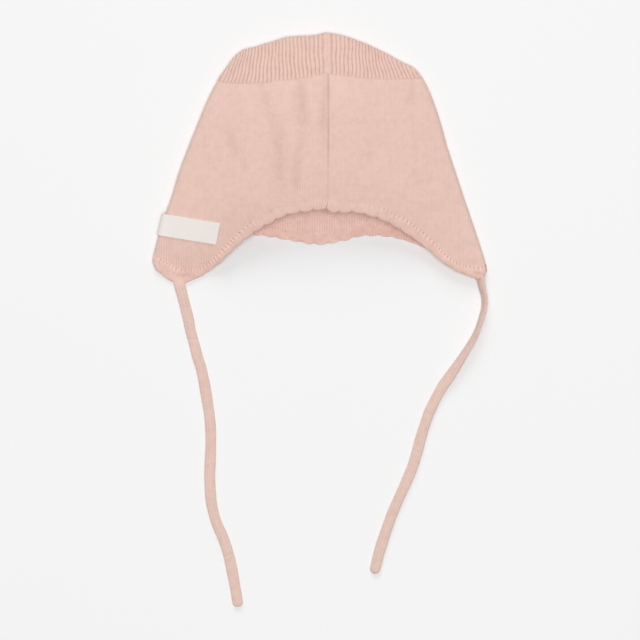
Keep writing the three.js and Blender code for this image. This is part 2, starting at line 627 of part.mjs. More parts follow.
// A flat tube laid along its route, its two ends rounded off.
function tieGeometry(route) {
  const curve = new THREE.CatmullRomCurve3(route.map(({ x, y, z }) => new THREE.Vector3(x, y, z)));
  const section = Array.from({ length: TIE_SIDES }, (_, i) => {
    const angle = (2 * Math.PI * (i + 0.5)) / TIE_SIDES;
    const squared = (value) => Math.sign(value) * Math.abs(value) ** 0.6;
    return [(squared(Math.cos(angle)) * TIE_WIDTH) / 2, (squared(Math.sin(angle)) * TIE_CLOTH) / 2];
  });
  const ring = (place, narrowing) => {
    const centre = curve.getPoint(place);
    const along = curve.getTangent(place);
    const row = place * (route.length - 1);
    const before = Math.min(route.length - 2, Math.floor(row));
    const turn = mix(route[before].turn, route[before + 1].turn, row - before);
    const side = new THREE.Vector3(-along.y, along.x, 0).normalize();
    side.applyAxisAngle(along, THREE.MathUtils.degToRad(turn));
    const up = along.clone().cross(side);
    return section.map(([wide, thick]) =>
      centre.clone().addScaledVector(side, wide * narrowing).addScaledVector(up, thick),
    );
  };
  const rings = [];
  for (let i = 0; i <= TIE_STEPS; i++) {
    const fromEnd = Math.min(i, TIE_STEPS - i);
    rings.push(ring(i / TIE_STEPS, TIE_END_WIDTHS[fromEnd] ?? 1));
  }
  const positions = [];
  for (let i = 0; i < TIE_STEPS; i++)
    for (let j = 0; j < TIE_SIDES; j++) {
      const k = (j + 1) % TIE_SIDES;
      const [a, b, c, d] = [rings[i][j], rings[i][k], rings[i + 1][k], rings[i + 1][j]];
      positions.push(...[a, b, c, a, c, d].flatMap((corner) => corner.toArray()));
    }
  for (let j = 2; j < TIE_SIDES; j++) {
    const caps = [rings[0][0], rings[0][j], rings[0][j - 1]];
    caps.push(rings[TIE_STEPS][0], rings[TIE_STEPS][j - 1], rings[TIE_STEPS][j]);
    positions.push(...caps.flatMap((corner) => corner.toArray()));
  }
  return geometryOf(positions);
}

// ---- Assembly -----------------------------------------------------------------------------

const knit = (color) => new THREE.MeshStandardMaterial({ color, roughness: 0.95, metalness: 0 });
const bonnet = new THREE.Group();

function addPiece(name, geometry, color) {
  geometry.deleteAttribute("normal");
  geometry.deleteAttribute("uv");
  const merged = mergeVertices(geometry, 1e-4);
  merged.computeVertexNormals();
  const piece = new THREE.Mesh(merged, knit(color));
  piece.name = name;
  bonnet.add(piece);
}

addPiece("body_knit", bodyGeometry(), "#e5c4b8");
addPiece("crown_rib", crownGeometry(), "#e2bfb2");
addPiece("scalloped_trim", trimGeometry(), "#e6c2b4");
addPiece("front_seam", seamGeometry(), "#d9b2a4");
addPiece("side_label", labelGeometry(), "#efe6df");
addPiece("left_tie", tieGeometry(LEFT_TIE), "#e3bfb3");
addPiece("right_tie", tieGeometry(RIGHT_TIE), "#e3bfb3");

export default bonnet;
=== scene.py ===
"""A baby's knitted bonnet, lying flat on its back with both layers slightly puffed apart.

The bonnet is one tube of fine cotton knit, seamed down the centre front, with a ribbed crown, a
folded scalloped edging round two ear flaps, a bare woven label on the left flap and two flat
knitted ties. Shapes are worked out in millimetres and stored in metres. +Z is up from the surface
that the bonnet lies on, +Y runs from the opening to the crown and +X to the right.
"""

import logging
import math
from collections.abc import Callable
from dataclasses import dataclass, field
from enum import Enum

import bpy
import numpy as np
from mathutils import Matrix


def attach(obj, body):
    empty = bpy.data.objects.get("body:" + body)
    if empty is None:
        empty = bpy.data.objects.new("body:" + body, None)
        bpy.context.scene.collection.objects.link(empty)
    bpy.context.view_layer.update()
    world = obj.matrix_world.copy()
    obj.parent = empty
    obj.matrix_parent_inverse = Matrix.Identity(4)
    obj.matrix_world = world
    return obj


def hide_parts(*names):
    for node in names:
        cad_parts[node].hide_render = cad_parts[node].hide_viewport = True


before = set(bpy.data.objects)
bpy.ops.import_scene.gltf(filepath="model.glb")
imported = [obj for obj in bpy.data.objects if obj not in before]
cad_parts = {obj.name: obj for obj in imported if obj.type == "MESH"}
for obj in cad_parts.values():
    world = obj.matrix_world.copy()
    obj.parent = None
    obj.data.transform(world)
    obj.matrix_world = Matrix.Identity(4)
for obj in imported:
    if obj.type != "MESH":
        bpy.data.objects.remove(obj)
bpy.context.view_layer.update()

log = logging.getLogger("bonnet")

MM = 0.001
UV_NAME = "cloth"
ROOT = "root"
SAME_POINT = 0.002  # points this near each other, in mm, are one point
WALL_ANGLE = math.radians(55)  # a wall's edges that are sharper than this stay sharp
MARKS = ("shade", "spread", "painted_light")  # what a wall stores for its finish: painted shade, the wales' spread and painted light

Array = np.ndarray
Table = dict[str, Array]
Pair = tuple[float, float]
Piece = bpy.types.Object
Lookup = Callable[[Array], Array]


class Layer(Enum):
    """One of the two layers of cloth that lie on each other."""

    FRONT = "front"
    REAR = "rear"


# ---- Tables ----------------------------------------------


def table(names: str, *rows: tuple[float, ...]) -> Table:
    """Turns rows of numbers into named columns.

    Args:
        names: the columns' names, with spaces between them.
        rows: one tuple of numbers for each row.

    Returns:
        One array for each name.
    """
    return dict(zip(names.split(), np.array(rows, float).T))


# Cross-sections from the crown down to the flaps: the two side folds, the radius of each fold, and
# how far the front layer stands above them at the middle.
SECTIONS = table(
    "y left right left_fold right_fold dome",
    (82, -42.6, 39.2, 2.2, 2.2, 17.0),
    (69, -50.6, 50.7, 2.2, 2.2, 17.0),
    (58, -58.2, 59.0, 2.2, 2.2, 17.0),
    (49, -64.7, 66.1, 2.2, 2.2, 17.0),
    (36, -71.4, 72.0, 2.2, 2.2, 17.0),
    (20, -78.1, 77.2, 2.2, 2.2, 17.0),
    (5, -84.0, 81.4, 2.2, 2.2, 16.8),
    (-10, -89.6, 86.4, 2.2, 2.2, 16.2),
    (-26, -94.4, 91.6, 2.1, 2.1, 14.8),
    (-36, -98.1, 95.1, 2.0, 2.0, 12.8),
    (-48, -101.9, 99.1, 1.9, 1.9, 9.5),
    (-58, -104.6, 102.4, 1.8, 1.8, 6.6),
    (-66, -106.2, 104.8, 1.7, 1.8, 4.6),
    (-72, -106.4, 106.1, 1.7, 1.7, 3.2),
    (-81, -106.4, 106.3, 1.7, 1.7, 2.0),
)

# Where rib meets plain knit: across is -1 at the left fold and 1 at the right one.
RIB_LINE = table(
    "across y",
    (-1.0, 48.6), (-0.9, 47.7), (-0.75, 47.1), (-0.6, 47.1), (-0.5, 47.5), (-0.42, 48.6),
    (-0.3, 49.4), (-0.2, 50.2), (-0.12, 50.6), (-0.06, 51.3), (0.0, 52.8), (0.06, 53.2),
    (0.12, 52.4), (0.2, 52.0), (0.3, 51.2), (0.4, 50.3), (0.65, 49.8), (0.8, 50.0), (1.0, 50.6),
)

# The closed top of the crown, and where each rib reaches it.
CROWN_TOP = table(
    "across x y",
    (-1.0, -57.6, 59.3),
    (-0.94, -54.6, 63.3),
    (-0.87, -50.4, 67.1),
    (-0.79, -46.9, 68.8),
    (-0.67, -41.0, 70.1),
    (-0.55, -34.3, 72.2),
    (-0.44, -28.1, 74.1),
    (-0.32, -21.5, 76.2),
    (-0.21, -14.6, 76.9),
    (-0.1, -7.4, 77.2),
    (-0.02, -1.6, 77.6),
    (0.02, 1.2, 78.5),
    (0.065, 4.2, 79.1),
    (0.11, 7.3, 78.8),
    (0.22, 15.0, 77.2),
    (0.34, 22.6, 74.6),
    (0.48, 29.7, 71.9),
    (0.62, 36.9, 68.6),
    (0.74, 43.3, 65.4),
    (0.85, 51.6, 60.7),
    (0.95, 58.9, 57.3),
    (1.0, 61.9, 54.6),
)

# The lower edge. "edge" is the outside of the edging and "link" the line where it joins the body.
RIM_FRONT_LEFT = table(
    "edge_x edge_y link_x link_y",
    (-106.3, -67.6, -105.6, -62.2),
    (-104.6, -71.6, -101.6, -64.8),
    (-99.4, -76.0, -96.6, -67.8),
    (-94.4, -79.3, -92.0, -70.3),
    (-89.3, -80.6, -86.6, -71.6),
    (-81.6, -78.2, -80.6, -71.4),
    (-73.9, -74.6, -75.0, -69.2),
    (-66.2, -69.2, -68.8, -64.8),
    (-58.6, -62.3, -62.2, -58.4),
    (-50.9, -54.8, -55.2, -50.9),
    (-42.6, -48.6, -46.8, -43.5),
    (-33.0, -42.6, -36.6, -36.6),
    (-21.5, -37.2, -23.8, -30.9),
    (-8.0, -34.4, -8.8, -27.7),
    (3.7, -33.3, 5.35, -26.5),
)
RIM_FRONT_RIGHT = table(
    "edge_x edge_y link_x link_y",
    (4.1, -33.3, 5.4, -26.5),
    (7.4, -35.0, 8.2, -26.8),
    (13.0, -35.3, 13.6, -27.2),
    (20.0, -35.2, 20.6, -27.8),
    (32.0, -37.3, 34.2, -30.5),
    (43.8, -41.8, 46.9, -35.3),
    (55.4, -48.5, 58.9, -41.9),
    (65.6, -56.0, 68.4, -49.6),
    (72.6, -61.6, 75.4, -56.2),
    (78.2, -66.6, 80.2, -61.6),
    (84.0, -70.5, 84.8, -65.2),
    (90.4, -73.6, 90.0, -67.9),
    (96.6, -76.0, 95.4, -69.4),
    (101.4, -77.4, 99.8, -70.2),
    (104.6, -76.6, 103.2, -69.8),
    (106.1, -73.6, 105.4, -68.6),
)
RIM_REAR = table(
    "edge_x edge_y link_x link_y",
    (106.1, -73.6, 105.4, -68.6),
    (104.4, -75.4, 103.2, -69.2),
    (99.6, -75.0, 98.8, -68.2),
    (92.0, -71.6, 91.8, -64.6),
    (82.0, -66.0, 82.6, -58.8),
    (71.0, -59.6, 72.6, -52.5),
    (60.5, -54.8, 62.2, -47.8),
    (49.0, -51.2, 50.0, -44.0),
    (37.4, -49.6, 37.4, -42.4),
    (25.9, -50.1, 25.0, -43.1),
    (14.4, -52.9, 12.8, -46.1),
    (1.6, -55.1, 1.2, -48.0),
    (-12.5, -53.8, -11.4, -46.7),
    (-27.8, -50.9, -27.0, -43.7),
    (-42.6, -49.2, -42.2, -42.0),
    (-58.0, -49.4, -58.0, -42.2),
    (-74.0, -50.8, -74.8, -43.8),
    (-88.0, -54.4, -89.2, -47.6),
    (-98.4, -60.0, -99.0, -53.8),
    (-104.0, -64.6, -103.6, -59.0),
    (-106.3, -67.6, -105.6, -62.2),
)

# Soft creases that run down the front layer.
CREASES = table(
    "x lean top bottom width depth",
    (-13.0, 0, 56, 12, 5.0, 1.2),
    (-26.0, 0, 26, -36, 6.0, 1.0),
    (-17.0, 0, -3, -26, 4.0, 0.7),
    (58.5, 0, 54, 26, 5.0, 0.8),
)
FINE_CREASES = table(
    "x lean top bottom width depth",
    (-11.8, -0.5, 64, 0, 3.6, 0.75),
    (-14.6, 3.4, 18, -34, 2.8, 0.7),
    (-27.0, 0.6, 30, -36, 3.4, 0.65),
    (-34.0, -4.5, 56, 12, 4.0, 0.6),
    (-57.0, -9.0, 32, -14, 5.0, 0.6),
    (2.9, 0.0, 64, -4, 2.4, 0.9),
    (59.0, 0.0, 54, 30, 2.6, 0.6),
    (34.0, 0.0, 30, -12, 5.0, 0.2),
    (98.9, 0.5, -64.8, -70.6, 1.1, 0.45),
    (102.3, 0.0, -65.5, -76.0, 2.4, 0.25),
)

# Centre lines of the ties, from the flap to the free end, with the height of the middle of the
# cloth and how far it is turned out of flat, in degrees.
LEFT_TIE = table(
    "x y z turn",
    (-89.8, -81.2, 1.5, 0),
    (-88.4, -86.0, 1.2, 0),
    (-86.2, -94.7, 1.05, 0),
    (-84.2, -102.4, 1.05, 0),
    (-82.8, -110.1, 1.05, 0),
    (-80.5, -118.4, 1.05, 0),
    (-78.4, -126.7, 1.05, 0),
    (-75.8, -135.0, 1.05, 0),
    (-73.8, -144.6, 1.05, 0),
    (-72.3, -153.6, 1.05, 0),
    (-70.8, -163.2, 1.05, 0),
    (-69.9, -172.8, 1.05, 0),
    (-69.8, -183.7, 1.05, 0),
    (-70.1, -193.3, 1.05, 0),
    (-70.4, -202.9, 1.05, 0),
    (-70.1, -212.5, 1.05, 0),
    (-69.0, -222.7, 1.05, 0),
    (-66.2, -232.9, 1.05, 0),
    (-61.9, -242.9, 1.05, 0),
    (-58.6, -252.8, 1.05, 0),
    (-56.2, -263.7, 1.05, 0),
    (-54.1, -274.6, 1.05, 0),
    (-52.1, -287.2, 1.05, 0),
)
RIGHT_TIE = table(
    "x y z turn",
    (102.6, -78.0, 2.9, 52),
    (103.9, -84.0, 3.15, 62),
    (105.2, -89.8, 3.2, 66),
    (105.0, -96.0, 3.25, 68),
    (103.4, -102.2, 3.3, 71),
    (101.2, -109.0, 3.25, 69),
    (98.0, -116.2, 3.15, 62),
    (93.5, -123.7, 3.0, 55),
    (88.8, -131.2, 2.6, 42),
    (83.8, -138.7, 2.0, 26),
    (78.6, -146.2, 1.25, 8),
    (74.3, -153.9, 1.05, 0),
    (70.5, -161.7, 1.05, 0),
    (67.5, -169.9, 1.05, 0),
    (64.7, -178.8, 1.05, 0),
    (62.2, -188.2, 1.05, 0),
    (59.2, -198.0, 1.05, 0),
    (54.7, -208.8, 1.05, 0),
    (49.8, -219.6, 1.05, 0),
    (45.3, -230.4, 1.05, 0),
    (41.5, -241.3, 1.05, 0),
    (38.0, -252.4, 1.05, 0),
    (34.7, -266.0, 1.05, 0),
)


# ---- Curves ----------------------------------------------


def mix(a: Array | float, b: Array | float, t: Array | float) -> Array | float:
    """Goes from a to b as t goes from 0 to 1."""
    return a + (b - a) * t


def smooth(t: Array | float) -> Array:
    """A soft step from 0 to 1, flat outside that range."""
    held = np.clip(t, 0.0, 1.0)
    return held * held * (3 - 2 * held)


def ramp(value: Array, start: float, end: float) -> Array:
    """A soft step from 0 at the start to 1 at the end."""
    return smooth((value - start) / (end - start))


def fade(distance: Array, reach: Array | float) -> Array:
    """A soft step from 1 at distance 0 to 0 at the reach."""
    return smooth(1 - distance / reach)


def bell(distance: Array, width: float) -> Array:
    """A soft bump, 1 at distance 0 and nearly 0 past two widths."""
    return np.exp(-((distance / width) ** 2))


def rounding(distance: Array, radius: float) -> Array:
    """Height of a quarter circle, 0 at its rim and 1 past its radius."""
    return np.sqrt(1 - (1 - np.clip(distance / radius, 0, 1)) ** 2)


def squared(turn: Array, power: float) -> Array:
    """Flattens a sine or cosine, so that a round section becomes a nearly square one."""
    return np.sign(turn) * np.abs(turn) ** power


def off_whole(turn: Array) -> Array:
    """Distance to the nearest whole number."""
    return np.abs((turn + 0.5) % 1 - 0.5)


def quarter(count: int) -> Array:
    """Angles of a quarter turn, from 0."""
    return np.linspace(0, math.pi / 2, count)


def grid(*values: Array | float) -> Array:
    """Sets values of one grid side by side along a last axis."""
    return np.stack(np.broadcast_arrays(*values), axis=-1)


def unit(vectors: Array) -> Array:
    """Brings vectors along the last axis to length 1."""
    return vectors / np.linalg.norm(vectors, axis=-1, keepdims=True)


def lookup(rows: Table, key: str, name: str) -> Lookup:
    """A smooth curve through one column of a table, read by another.

    Args:
        rows: the table.
        key: the column it is read by, which rises or falls all the way.
        name: the column it gives.

    Returns:
        A function from values of key to values of name, held flat past the table's ends.
    """
    order = np.argsort(rows[key])
    at, value = rows[key][order], rows[name][order]
    before = np.maximum(np.arange(len(at)) - 1, 0)
    after = np.minimum(np.arange(len(at)) + 1, len(at) - 1)
    slope = (value[after] - value[before]) / (at[after] - at[before])

    def read(where: Array) -> Array:
        """Reads the curve.

        Args:
            where: values of the key.

        Returns:
            A value for each.
        """
        place = np.clip(where, at[0], at[-1])
        i = np.clip(np.searchsorted(at, place), 1, len(at) - 1)
        span = at[i] - at[i - 1]
        t = (place - at[i - 1]) / span
        return hermite(value[i - 1], slope[i - 1] * span, value[i], slope[i] * span, t)

    return read


def hermite(start: Array, leave: Array, end: Array, arrive: Array, t: Array) -> Array:
    """A cubic with a given slope at either end, as t goes from 0 to 1."""
    out = start * (1 + 2 * t) * (1 - t) ** 2 + leave * t * (1 - t) ** 2
    return out + end * t**2 * (3 - 2 * t) + arrive * t**2 * (t - 1)


def through(points: Array, places: Array) -> Array:
    """Points on a centripetal Catmull-Rom curve.

    Args:
        points: the points that the curve goes through, one row each.
        places: where to read it, from 0 at the first point to 1 at the last.

    Returns:
        One row for each place.
    """
    held = np.vstack([2 * points[0] - points[1], points, 2 * points[-1] - points[-2]])
    span = np.asarray(places) * (len(points) - 1)
    i = np.clip(span.astype(int), 0, len(points) - 2)
    p0, p1, p2, p3 = (held[i + k] for k in range(4))
    d0, d1, d2 = (
        np.sqrt(np.linalg.norm(b - a, axis=1, keepdims=True))
        for a, b in ((p0, p1), (p1, p2), (p2, p3))
    )
    leave = ((p1 - p0) / d0 - (p2 - p0) / (d0 + d1) + (p2 - p1) / d1) * d1
    arrive = ((p2 - p1) / d1 - (p3 - p1) / (d1 + d2) + (p3 - p2) / d2) * d1
    return hermite(p1, leave, p2, arrive, (span - i)[:, None])


def lengths(points: Array) -> Array:
    """Length along a line of points, from 0 at the first of them."""
    return np.concatenate([[0.0], np.cumsum(np.linalg.norm(np.diff(points, axis=0), axis=1))])


# ---- The form that the cloth follows ---------------------


class Form:
    """The bonnet's shape as it lies, in millimetres: its outline and its two layers' heights."""

    crown_rise = 55.0  # distance below the top where the front reaches its full height
    seam_x = 5.4
    seam_valley = (0.9, 7.0)  # depth and width of the valley along the seam
    fold_slant = 1.08  # a fold is wider by this when it is measured level, along X
    samples = (300, 400)  # points of the outline along a fold, and along the top
    search = 6.0  # points nearer than this to the outline have their distance worked out
    top_search = 1.5  # times that from the top, which slopes
    far = 50.0  # the distance that all the others get
    block_size = 1500  # points that are worked out at once
    sink_x = (-48.0, -70.0)  # the left flap sinks to the surface between these, along X
    sink_y = (-62.0, -76.0)  # and along Y
    crease_hold = 1.3  # above 1, a crease keeps its depth for longer before it runs out
    waves = (0.28, 0.16)  # heights of the long and the short waves of relaxed knit

    def __init__(self) -> None:
        """Reads the tables."""
        self.left, self.right, self.left_fold, self.right_fold, self.dome = (
            lookup(SECTIONS, "y", name) for name in SECTIONS if name != "y"
        )
        self.rib_line = lookup(RIB_LINE, "across", "y")
        self.top_x = lookup(CROWN_TOP, "across", "x")
        self.top_y = lookup(CROWN_TOP, "across", "y")
        self.top_over = lookup(CROWN_TOP, "x", "y")
        self.outline = self._outline()

    def _outline(self) -> Array:
        """Samples the line where the two layers meet.

        Returns:
            Points up the left fold, along the crown's top and down the right fold.
        """
        on_fold, on_top = self.samples
        left_y = np.linspace(RIM_REAR["edge_y"][-1], CROWN_TOP["y"][0], on_fold)
        across = np.linspace(-1, 1, on_top)[1:-1]
        right_y = np.linspace(CROWN_TOP["y"][-1], RIM_REAR["edge_y"][0], on_fold)
        top = grid(self.top_x(across), self.top_y(across))
        return np.vstack([grid(self.left(left_y), left_y), top, grid(self.right(right_y), right_y)])

    def across(self, x: Array, y: Array) -> Array:
        """Where a point lies between the folds, from -1 at the left one to 1 at the right one."""
        return 2 * (x - self.left(y)) / (self.right(y) - self.left(y)) - 1

    def x_at(self, across: Array, y: Array) -> Array:
        """The X of a point that lies between the folds."""
        return mix(self.left(y), self.right(y), (across + 1) / 2)

    def to_outline(self, x: Array, y: Array) -> Array:
        """Distance to the outline, exact near it and a large number further in.

        Args:
            x: the points' X.
            y: the points' Y, in the same shape.

        Returns:
            Distances in the same shape.
        """
        flat = np.column_stack([x.ravel(), y.ravel()])
        near = flat[:, 0] - self.left(flat[:, 1]) < self.search
        near |= self.right(flat[:, 1]) - flat[:, 0] < self.search
        near |= self.top_over(flat[:, 0]) - flat[:, 1] < self.top_search * self.search
        start, step = self.outline[:-1], np.diff(self.outline, axis=0)
        found = np.full(len(flat), self.far)
        places = np.flatnonzero(near)
        for first in range(0, len(places), self.block_size):
            block = places[first : first + self.block_size]
            gap = flat[block][:, None] - start
            along = np.clip((gap * step).sum(2) / (step**2).sum(1), 0, 1)
            found[block] = np.linalg.norm(gap - along[..., None] * step, axis=2).min(1)
        return found.reshape(x.shape)

    def fold_radius(self, x: Array, y: Array) -> Array:
        """Radius of the fold that the cloth takes at its nearer side."""
        share = np.clip((self.across(x, y) + 1) / 2, 0, 1)
        return mix(self.left_fold(y), self.right_fold(y), share)

    def turned(self, x: Array, y: Array, radius: Array) -> Array:
        """How far a fold has turned, 0 at the outline and the full radius further in."""
        rest = radius - np.minimum(self.to_outline(x, y), radius)
        return np.sqrt(np.maximum(0.0, radius**2 - rest**2))

    def crease(self, rows: Table, x: Array, y: Array) -> Array:
        """Depth of a table of creases in the front layer.

        Args:
            rows: the table.
            x: the points' X.
            y: the points' Y.

        Returns:
            How far each point is pressed in.
        """
        depth = np.zeros_like(x)
        for at, lean, top, bottom, width, deep in zip(*rows.values()):
            risen = (y - (top + bottom) / 2) / ((top - bottom) / 2)
            along = smooth(self.crease_hold * (1 - np.abs(risen)))
            depth += deep * along * bell(x - at - lean * risen, width)
        return depth

    def droop(self, x: Array, y: Array) -> Array:
        """How far the left flap, a single layer below its fold, has sunk to the surface."""
        return ramp(x, *self.sink_x) * ramp(y, *self.sink_y)

    def steepness(self, x: Array, y: Array) -> Array:
        """How steeply the left flap sinks, from 0 to 1."""
        sunk = np.clip((y - self.sink_y[0]) / (self.sink_y[1] - self.sink_y[0]), 0, 1)
        return 4 * sunk * (1 - sunk) * ramp(x, *self.sink_x)

    def ripple(self, x: Array, y: Array) -> Array:
        """Slight waves of relaxed knit, with a shallow valley along the seam.

        Args:
            x: the points' X.
            y: the points' Y.

        Returns:
            How far each point stands out.
        """
        # The waves' lengths have no common measure, so that no two stretches look alike.
        long, short = self.waves
        waves = long * np.sin(x / 7.9 + 0.6 * np.sin(y / 13.0)) * np.sin(y / 17.0 + x / 31.0)
        waves += short * np.sin(x / 3.9 - y / 9.0 + 1.3) * np.sin(y / 7.3 + 0.4)
        depth, width = self.seam_valley
        return waves - depth * bell(x - self.seam_x, width) - self.crease(FINE_CREASES, x, y)

    def front(self, x: Array, y: Array, base: float) -> Array:
        """Height of the front layer's middle.

        Args:
            x: the points' X.
            y: the points' Y.
            base: height of the rear layer's middle, where it lies flat.

        Returns:
            A height for each point.
        """
        radius = self.fold_radius(x, y)
        across = np.clip(self.across(x, y), -1, 1)
        below = np.clip((self.top_over(x) - y) / self.crown_rise, 0, 1)
        swell = (1 - across**2) * (1 - (1 - below) ** 2)
        inside = smooth(self.to_outline(x, y) / self.search)
        lift = radius + self.turned(x, y, radius) + self.dome(y) * swell
        lift += (self.ripple(x, y) * inside - self.crease(CREASES, x, y)) * below
        return base + lift * (1 - self.droop(x, y))

    def rear(self, x: Array, y: Array, base: float) -> Array:
        """Height of the rear layer's middle, which is at the base where it lies flat."""
        radius = self.fold_radius(x, y)
        return base + radius - self.turned(x, y, radius)

    def height(self, layer: Layer, x: Array, y: Array, base: float) -> Array:
        """Height of either layer's middle."""
        return self.front(x, y, base) if layer is Layer.FRONT else self.rear(x, y, base)

    def fold_height(self, x: Array, y: Array, base: float) -> Array:
        """Height of the outermost line of a fold."""
        return base + self.fold_radius(x, y)


class Rim:
    """One stretch of the lower edge, with its outside line and its link line."""

    scallop_pitch = 8.3
    scallop_depth = 0.9
    uneven = (0.16, 2.4)  # scallops differ by this share, and how fast
    stretched = (38.0, 62.0)  # between these, from the middle, the flaps' edge gets stretched
    flap_share = 0.3  # share of their depth that scallops keep there
    lobe_columns = 30
    by_fold = np.array([0.06, 0.22, 0.5])  # places of more columns next to a fold
    samples = 2401

    def __init__(self, rows: Table, layer: Layer) -> None:
        """Samples the two lines finely.

        Args:
            rows: the stretch's table.
            layer: the layer that it borders.
        """
        self.layer = layer
        self.fine = np.linspace(0, 1, self.samples)
        self.edge_points = grid(rows["edge_x"], rows["edge_y"])
        self.link_points = grid(rows["link_x"], rows["link_y"])
        self.edge_length = lengths(through(self.edge_points, self.fine))
        self.lobes = round(self.edge_length[-1] / self.scallop_pitch)
        link = through(self.link_points, self.fine)
        self.link_x, self.link_y = link[np.argsort(link[:, 0])].T

    def foot(self, x: Array) -> Array:
        """Y of the link line at an X."""
        return np.interp(x, self.link_x, self.link_y)

    def shares(self, folds: tuple[bool, bool]) -> Array:
        """Shares of the edge's length, one for each column.

        Args:
            folds: whether the stretch starts, and whether it ends, at a side fold.

        Returns:
            Rising shares, closer together next to a fold.
        """
        count = self.lobes * self.lobe_columns
        near = self.by_fold / count
        extra = [place for place, fold in zip((near, 1 - near), folds) if fold]
        return np.unique(np.concatenate([np.linspace(0, 1, count + 1), *extra]))

    def lines(self, share: Array) -> tuple[Array, Array]:
        """Points of the scalloped outside and of the link line.

        Args:
            share: shares of the edge's length.

        Returns:
            The outside points and the link points, one row for each share.
        """
        place = np.interp(share * self.edge_length[-1], self.edge_length, self.fine)
        edge, link = through(self.edge_points, place), through(self.link_points, place)
        turn = share * self.lobes
        differ, pace = self.uneven
        lobe = np.abs(np.sin(math.pi * turn)) * (1 + differ * np.sin(pace * np.floor(turn))) - 0.5
        pulled = ramp(np.abs(edge[:, 0]), *self.stretched)
        lobe *= self.scallop_depth * mix(1, self.flap_share, pulled)
        return edge - unit(link - edge) * lobe[:, None], link


# ---- Making meshes ---------------------------------------


@dataclass
class Cloth:
    """A grid of points on the middle of a knitted wall, in millimetres.

    Rows run from the opening to the crown and columns round the bonnet, so that the grid's own
    normals point outwards. "shade" is painted shade, darkening stitches where they lie in a hollow
    of the knit, "spread" is how far the wales lie apart, and the last mark is painted light, paling
    loops that stand out and the cloth's inside, each from 0 to 1.
    """

    points: Array
    uv: Array
    outward: Array
    inward: Array
    marks: dict[str, Array] = field(default_factory=dict)


def deselect_all() -> None:
    """Leaves nothing selected, in object mode."""
    bpy.ops.object.select_all(action="DESELECT")


def merge_doubles() -> None:
    """Joins the active object's points that lie on each other."""
    bpy.ops.object.mode_set(mode="EDIT")
    bpy.ops.mesh.select_all(action="SELECT")
    bpy.ops.mesh.remove_doubles(threshold=SAME_POINT * MM)
    bpy.ops.object.mode_set(mode="OBJECT")


def grid_piece(name: str, points: Array, uv: Array) -> Piece:
    """Lays a grid primitive on points.

    Args:
        name: the piece's name.
        points: rows by columns by 3, in millimetres.
        uv: rows by columns by 2, in millimetres of cloth.

    Returns:
        The active object, its points that coincide not yet merged.
    """
    rows, columns = points.shape[:2]
    deselect_all()
    bpy.ops.mesh.primitive_grid_add(x_subdivisions=columns - 1, y_subdivisions=rows - 1, size=1.0)
    piece = bpy.context.object
    piece.name = piece.data.name = name
    mesh = piece.data
    mesh.vertices.foreach_set("co", (points * MM).astype(np.float32).ravel())
    corners = np.empty(len(mesh.loops), np.int32)
    mesh.loops.foreach_get("vertex_index", corners)
    mesh.uv_layers[0].name = UV_NAME
    uv_values = uv.reshape(-1, 2)[corners].astype(np.float32).ravel()
    mesh.uv_layers[0].data.foreach_set("uv", uv_values)
    return piece


def set_values(mesh: bpy.types.Mesh, name: str, values: Array) -> None:
    """Stores one number for each point of a mesh."""
    stored = mesh.attributes.new(name, "FLOAT", "POINT")
    stored.data.foreach_set("value", values.astype(np.float32).ravel())


def take_values(mesh: bpy.types.Mesh, name: str) -> Array:
    """Reads a number for each point and removes it from the mesh.

    Args:
        mesh: the mesh.
        name: the attribute's name.

    Returns:
        The numbers, in the points' order.
    """
    values = np.empty(len(mesh.vertices), np.float32)
    mesh.attributes[name].data.foreach_get("value", values)
    mesh.attributes.remove(mesh.attributes[name])
    return values.astype(float)


def wall(name: str, cloth: Cloth) -> Piece:
    """Makes a closed wall round the middle surface, with its own depth on either side.

    Args:
        name: the piece's name.
        cloth: the middle surface and how far the wall reaches outward and inward of it.

    Returns:
        The finished piece, at the origin.
    """
    piece = grid_piece(name, cloth.points, cloth.uv)
    mesh = piece.data
    set_values(mesh, "outward", cloth.outward)
    set_values(mesh, "inward", cloth.inward)
    for mark in MARKS:
        set_values(mesh, mark, cloth.marks.get(mark, np.zeros(cloth.outward.shape)))
    merge_doubles()
    count = len(mesh.vertices)
    middle, normal = np.empty((2, count * 3), np.float32)
    mesh.vertices.foreach_get("co", middle)
    mesh.vertex_normals.foreach_get("vector", normal)
    middle, normal = middle.reshape(-1, 3), normal.reshape(-1, 3)

    thicken = piece.modifiers.new("wall", "SOLIDIFY")
    thicken.thickness = 0.1 * MM  # any value does, as both sides are moved next
    thicken.offset = 0
    bpy.ops.object.modifier_apply(modifier=thicken.name)
    outward = take_values(mesh, "outward")[:count, None] * MM
    inward = take_values(mesh, "inward")[:count, None] * MM
    painted_light = take_values(mesh, "painted_light")
    # Every wall's inside gets the full mark: painted light that pales the bonnet's inside, standing
    # in for light that comes through the thin knit.
    painted_light[count:] = 1.0
    set_values(mesh, "painted_light", painted_light)
    sides = np.vstack([middle + normal * outward, middle - normal * inward])
    mesh.vertices.foreach_set("co", sides.astype(np.float32).ravel())
    merge_doubles()
    bpy.ops.object.shade_smooth_by_angle(angle=WALL_ANGLE)
    return piece


def tube(name: str, points: Array, uv: Array, open_ends: bool) -> Piece:
    """Makes a closed tube from a grid that runs round it and along it.

    Args:
        name: the piece's name.
        points: rows by columns by 3, in millimetres, the last column on the first one.
        uv: rows by columns by 2, in millimetres of cloth.
        open_ends: whether an end isn't drawn in to a point, and is filled.

    Returns:
        The active object, its faces outwards.
    """
    piece = grid_piece(name, points, uv)
    merge_doubles()
    bpy.ops.object.mode_set(mode="EDIT")
    if open_ends:
        bpy.ops.mesh.select_all(action="DESELECT")
        bpy.ops.mesh.select_non_manifold()
        bpy.ops.mesh.edge_face_add()
    bpy.ops.mesh.select_all(action="SELECT")
    bpy.ops.mesh.normals_make_consistent(inside=False)
    bpy.ops.object.mode_set(mode="OBJECT")
    return piece


# ---- Body ------------------------------------------------


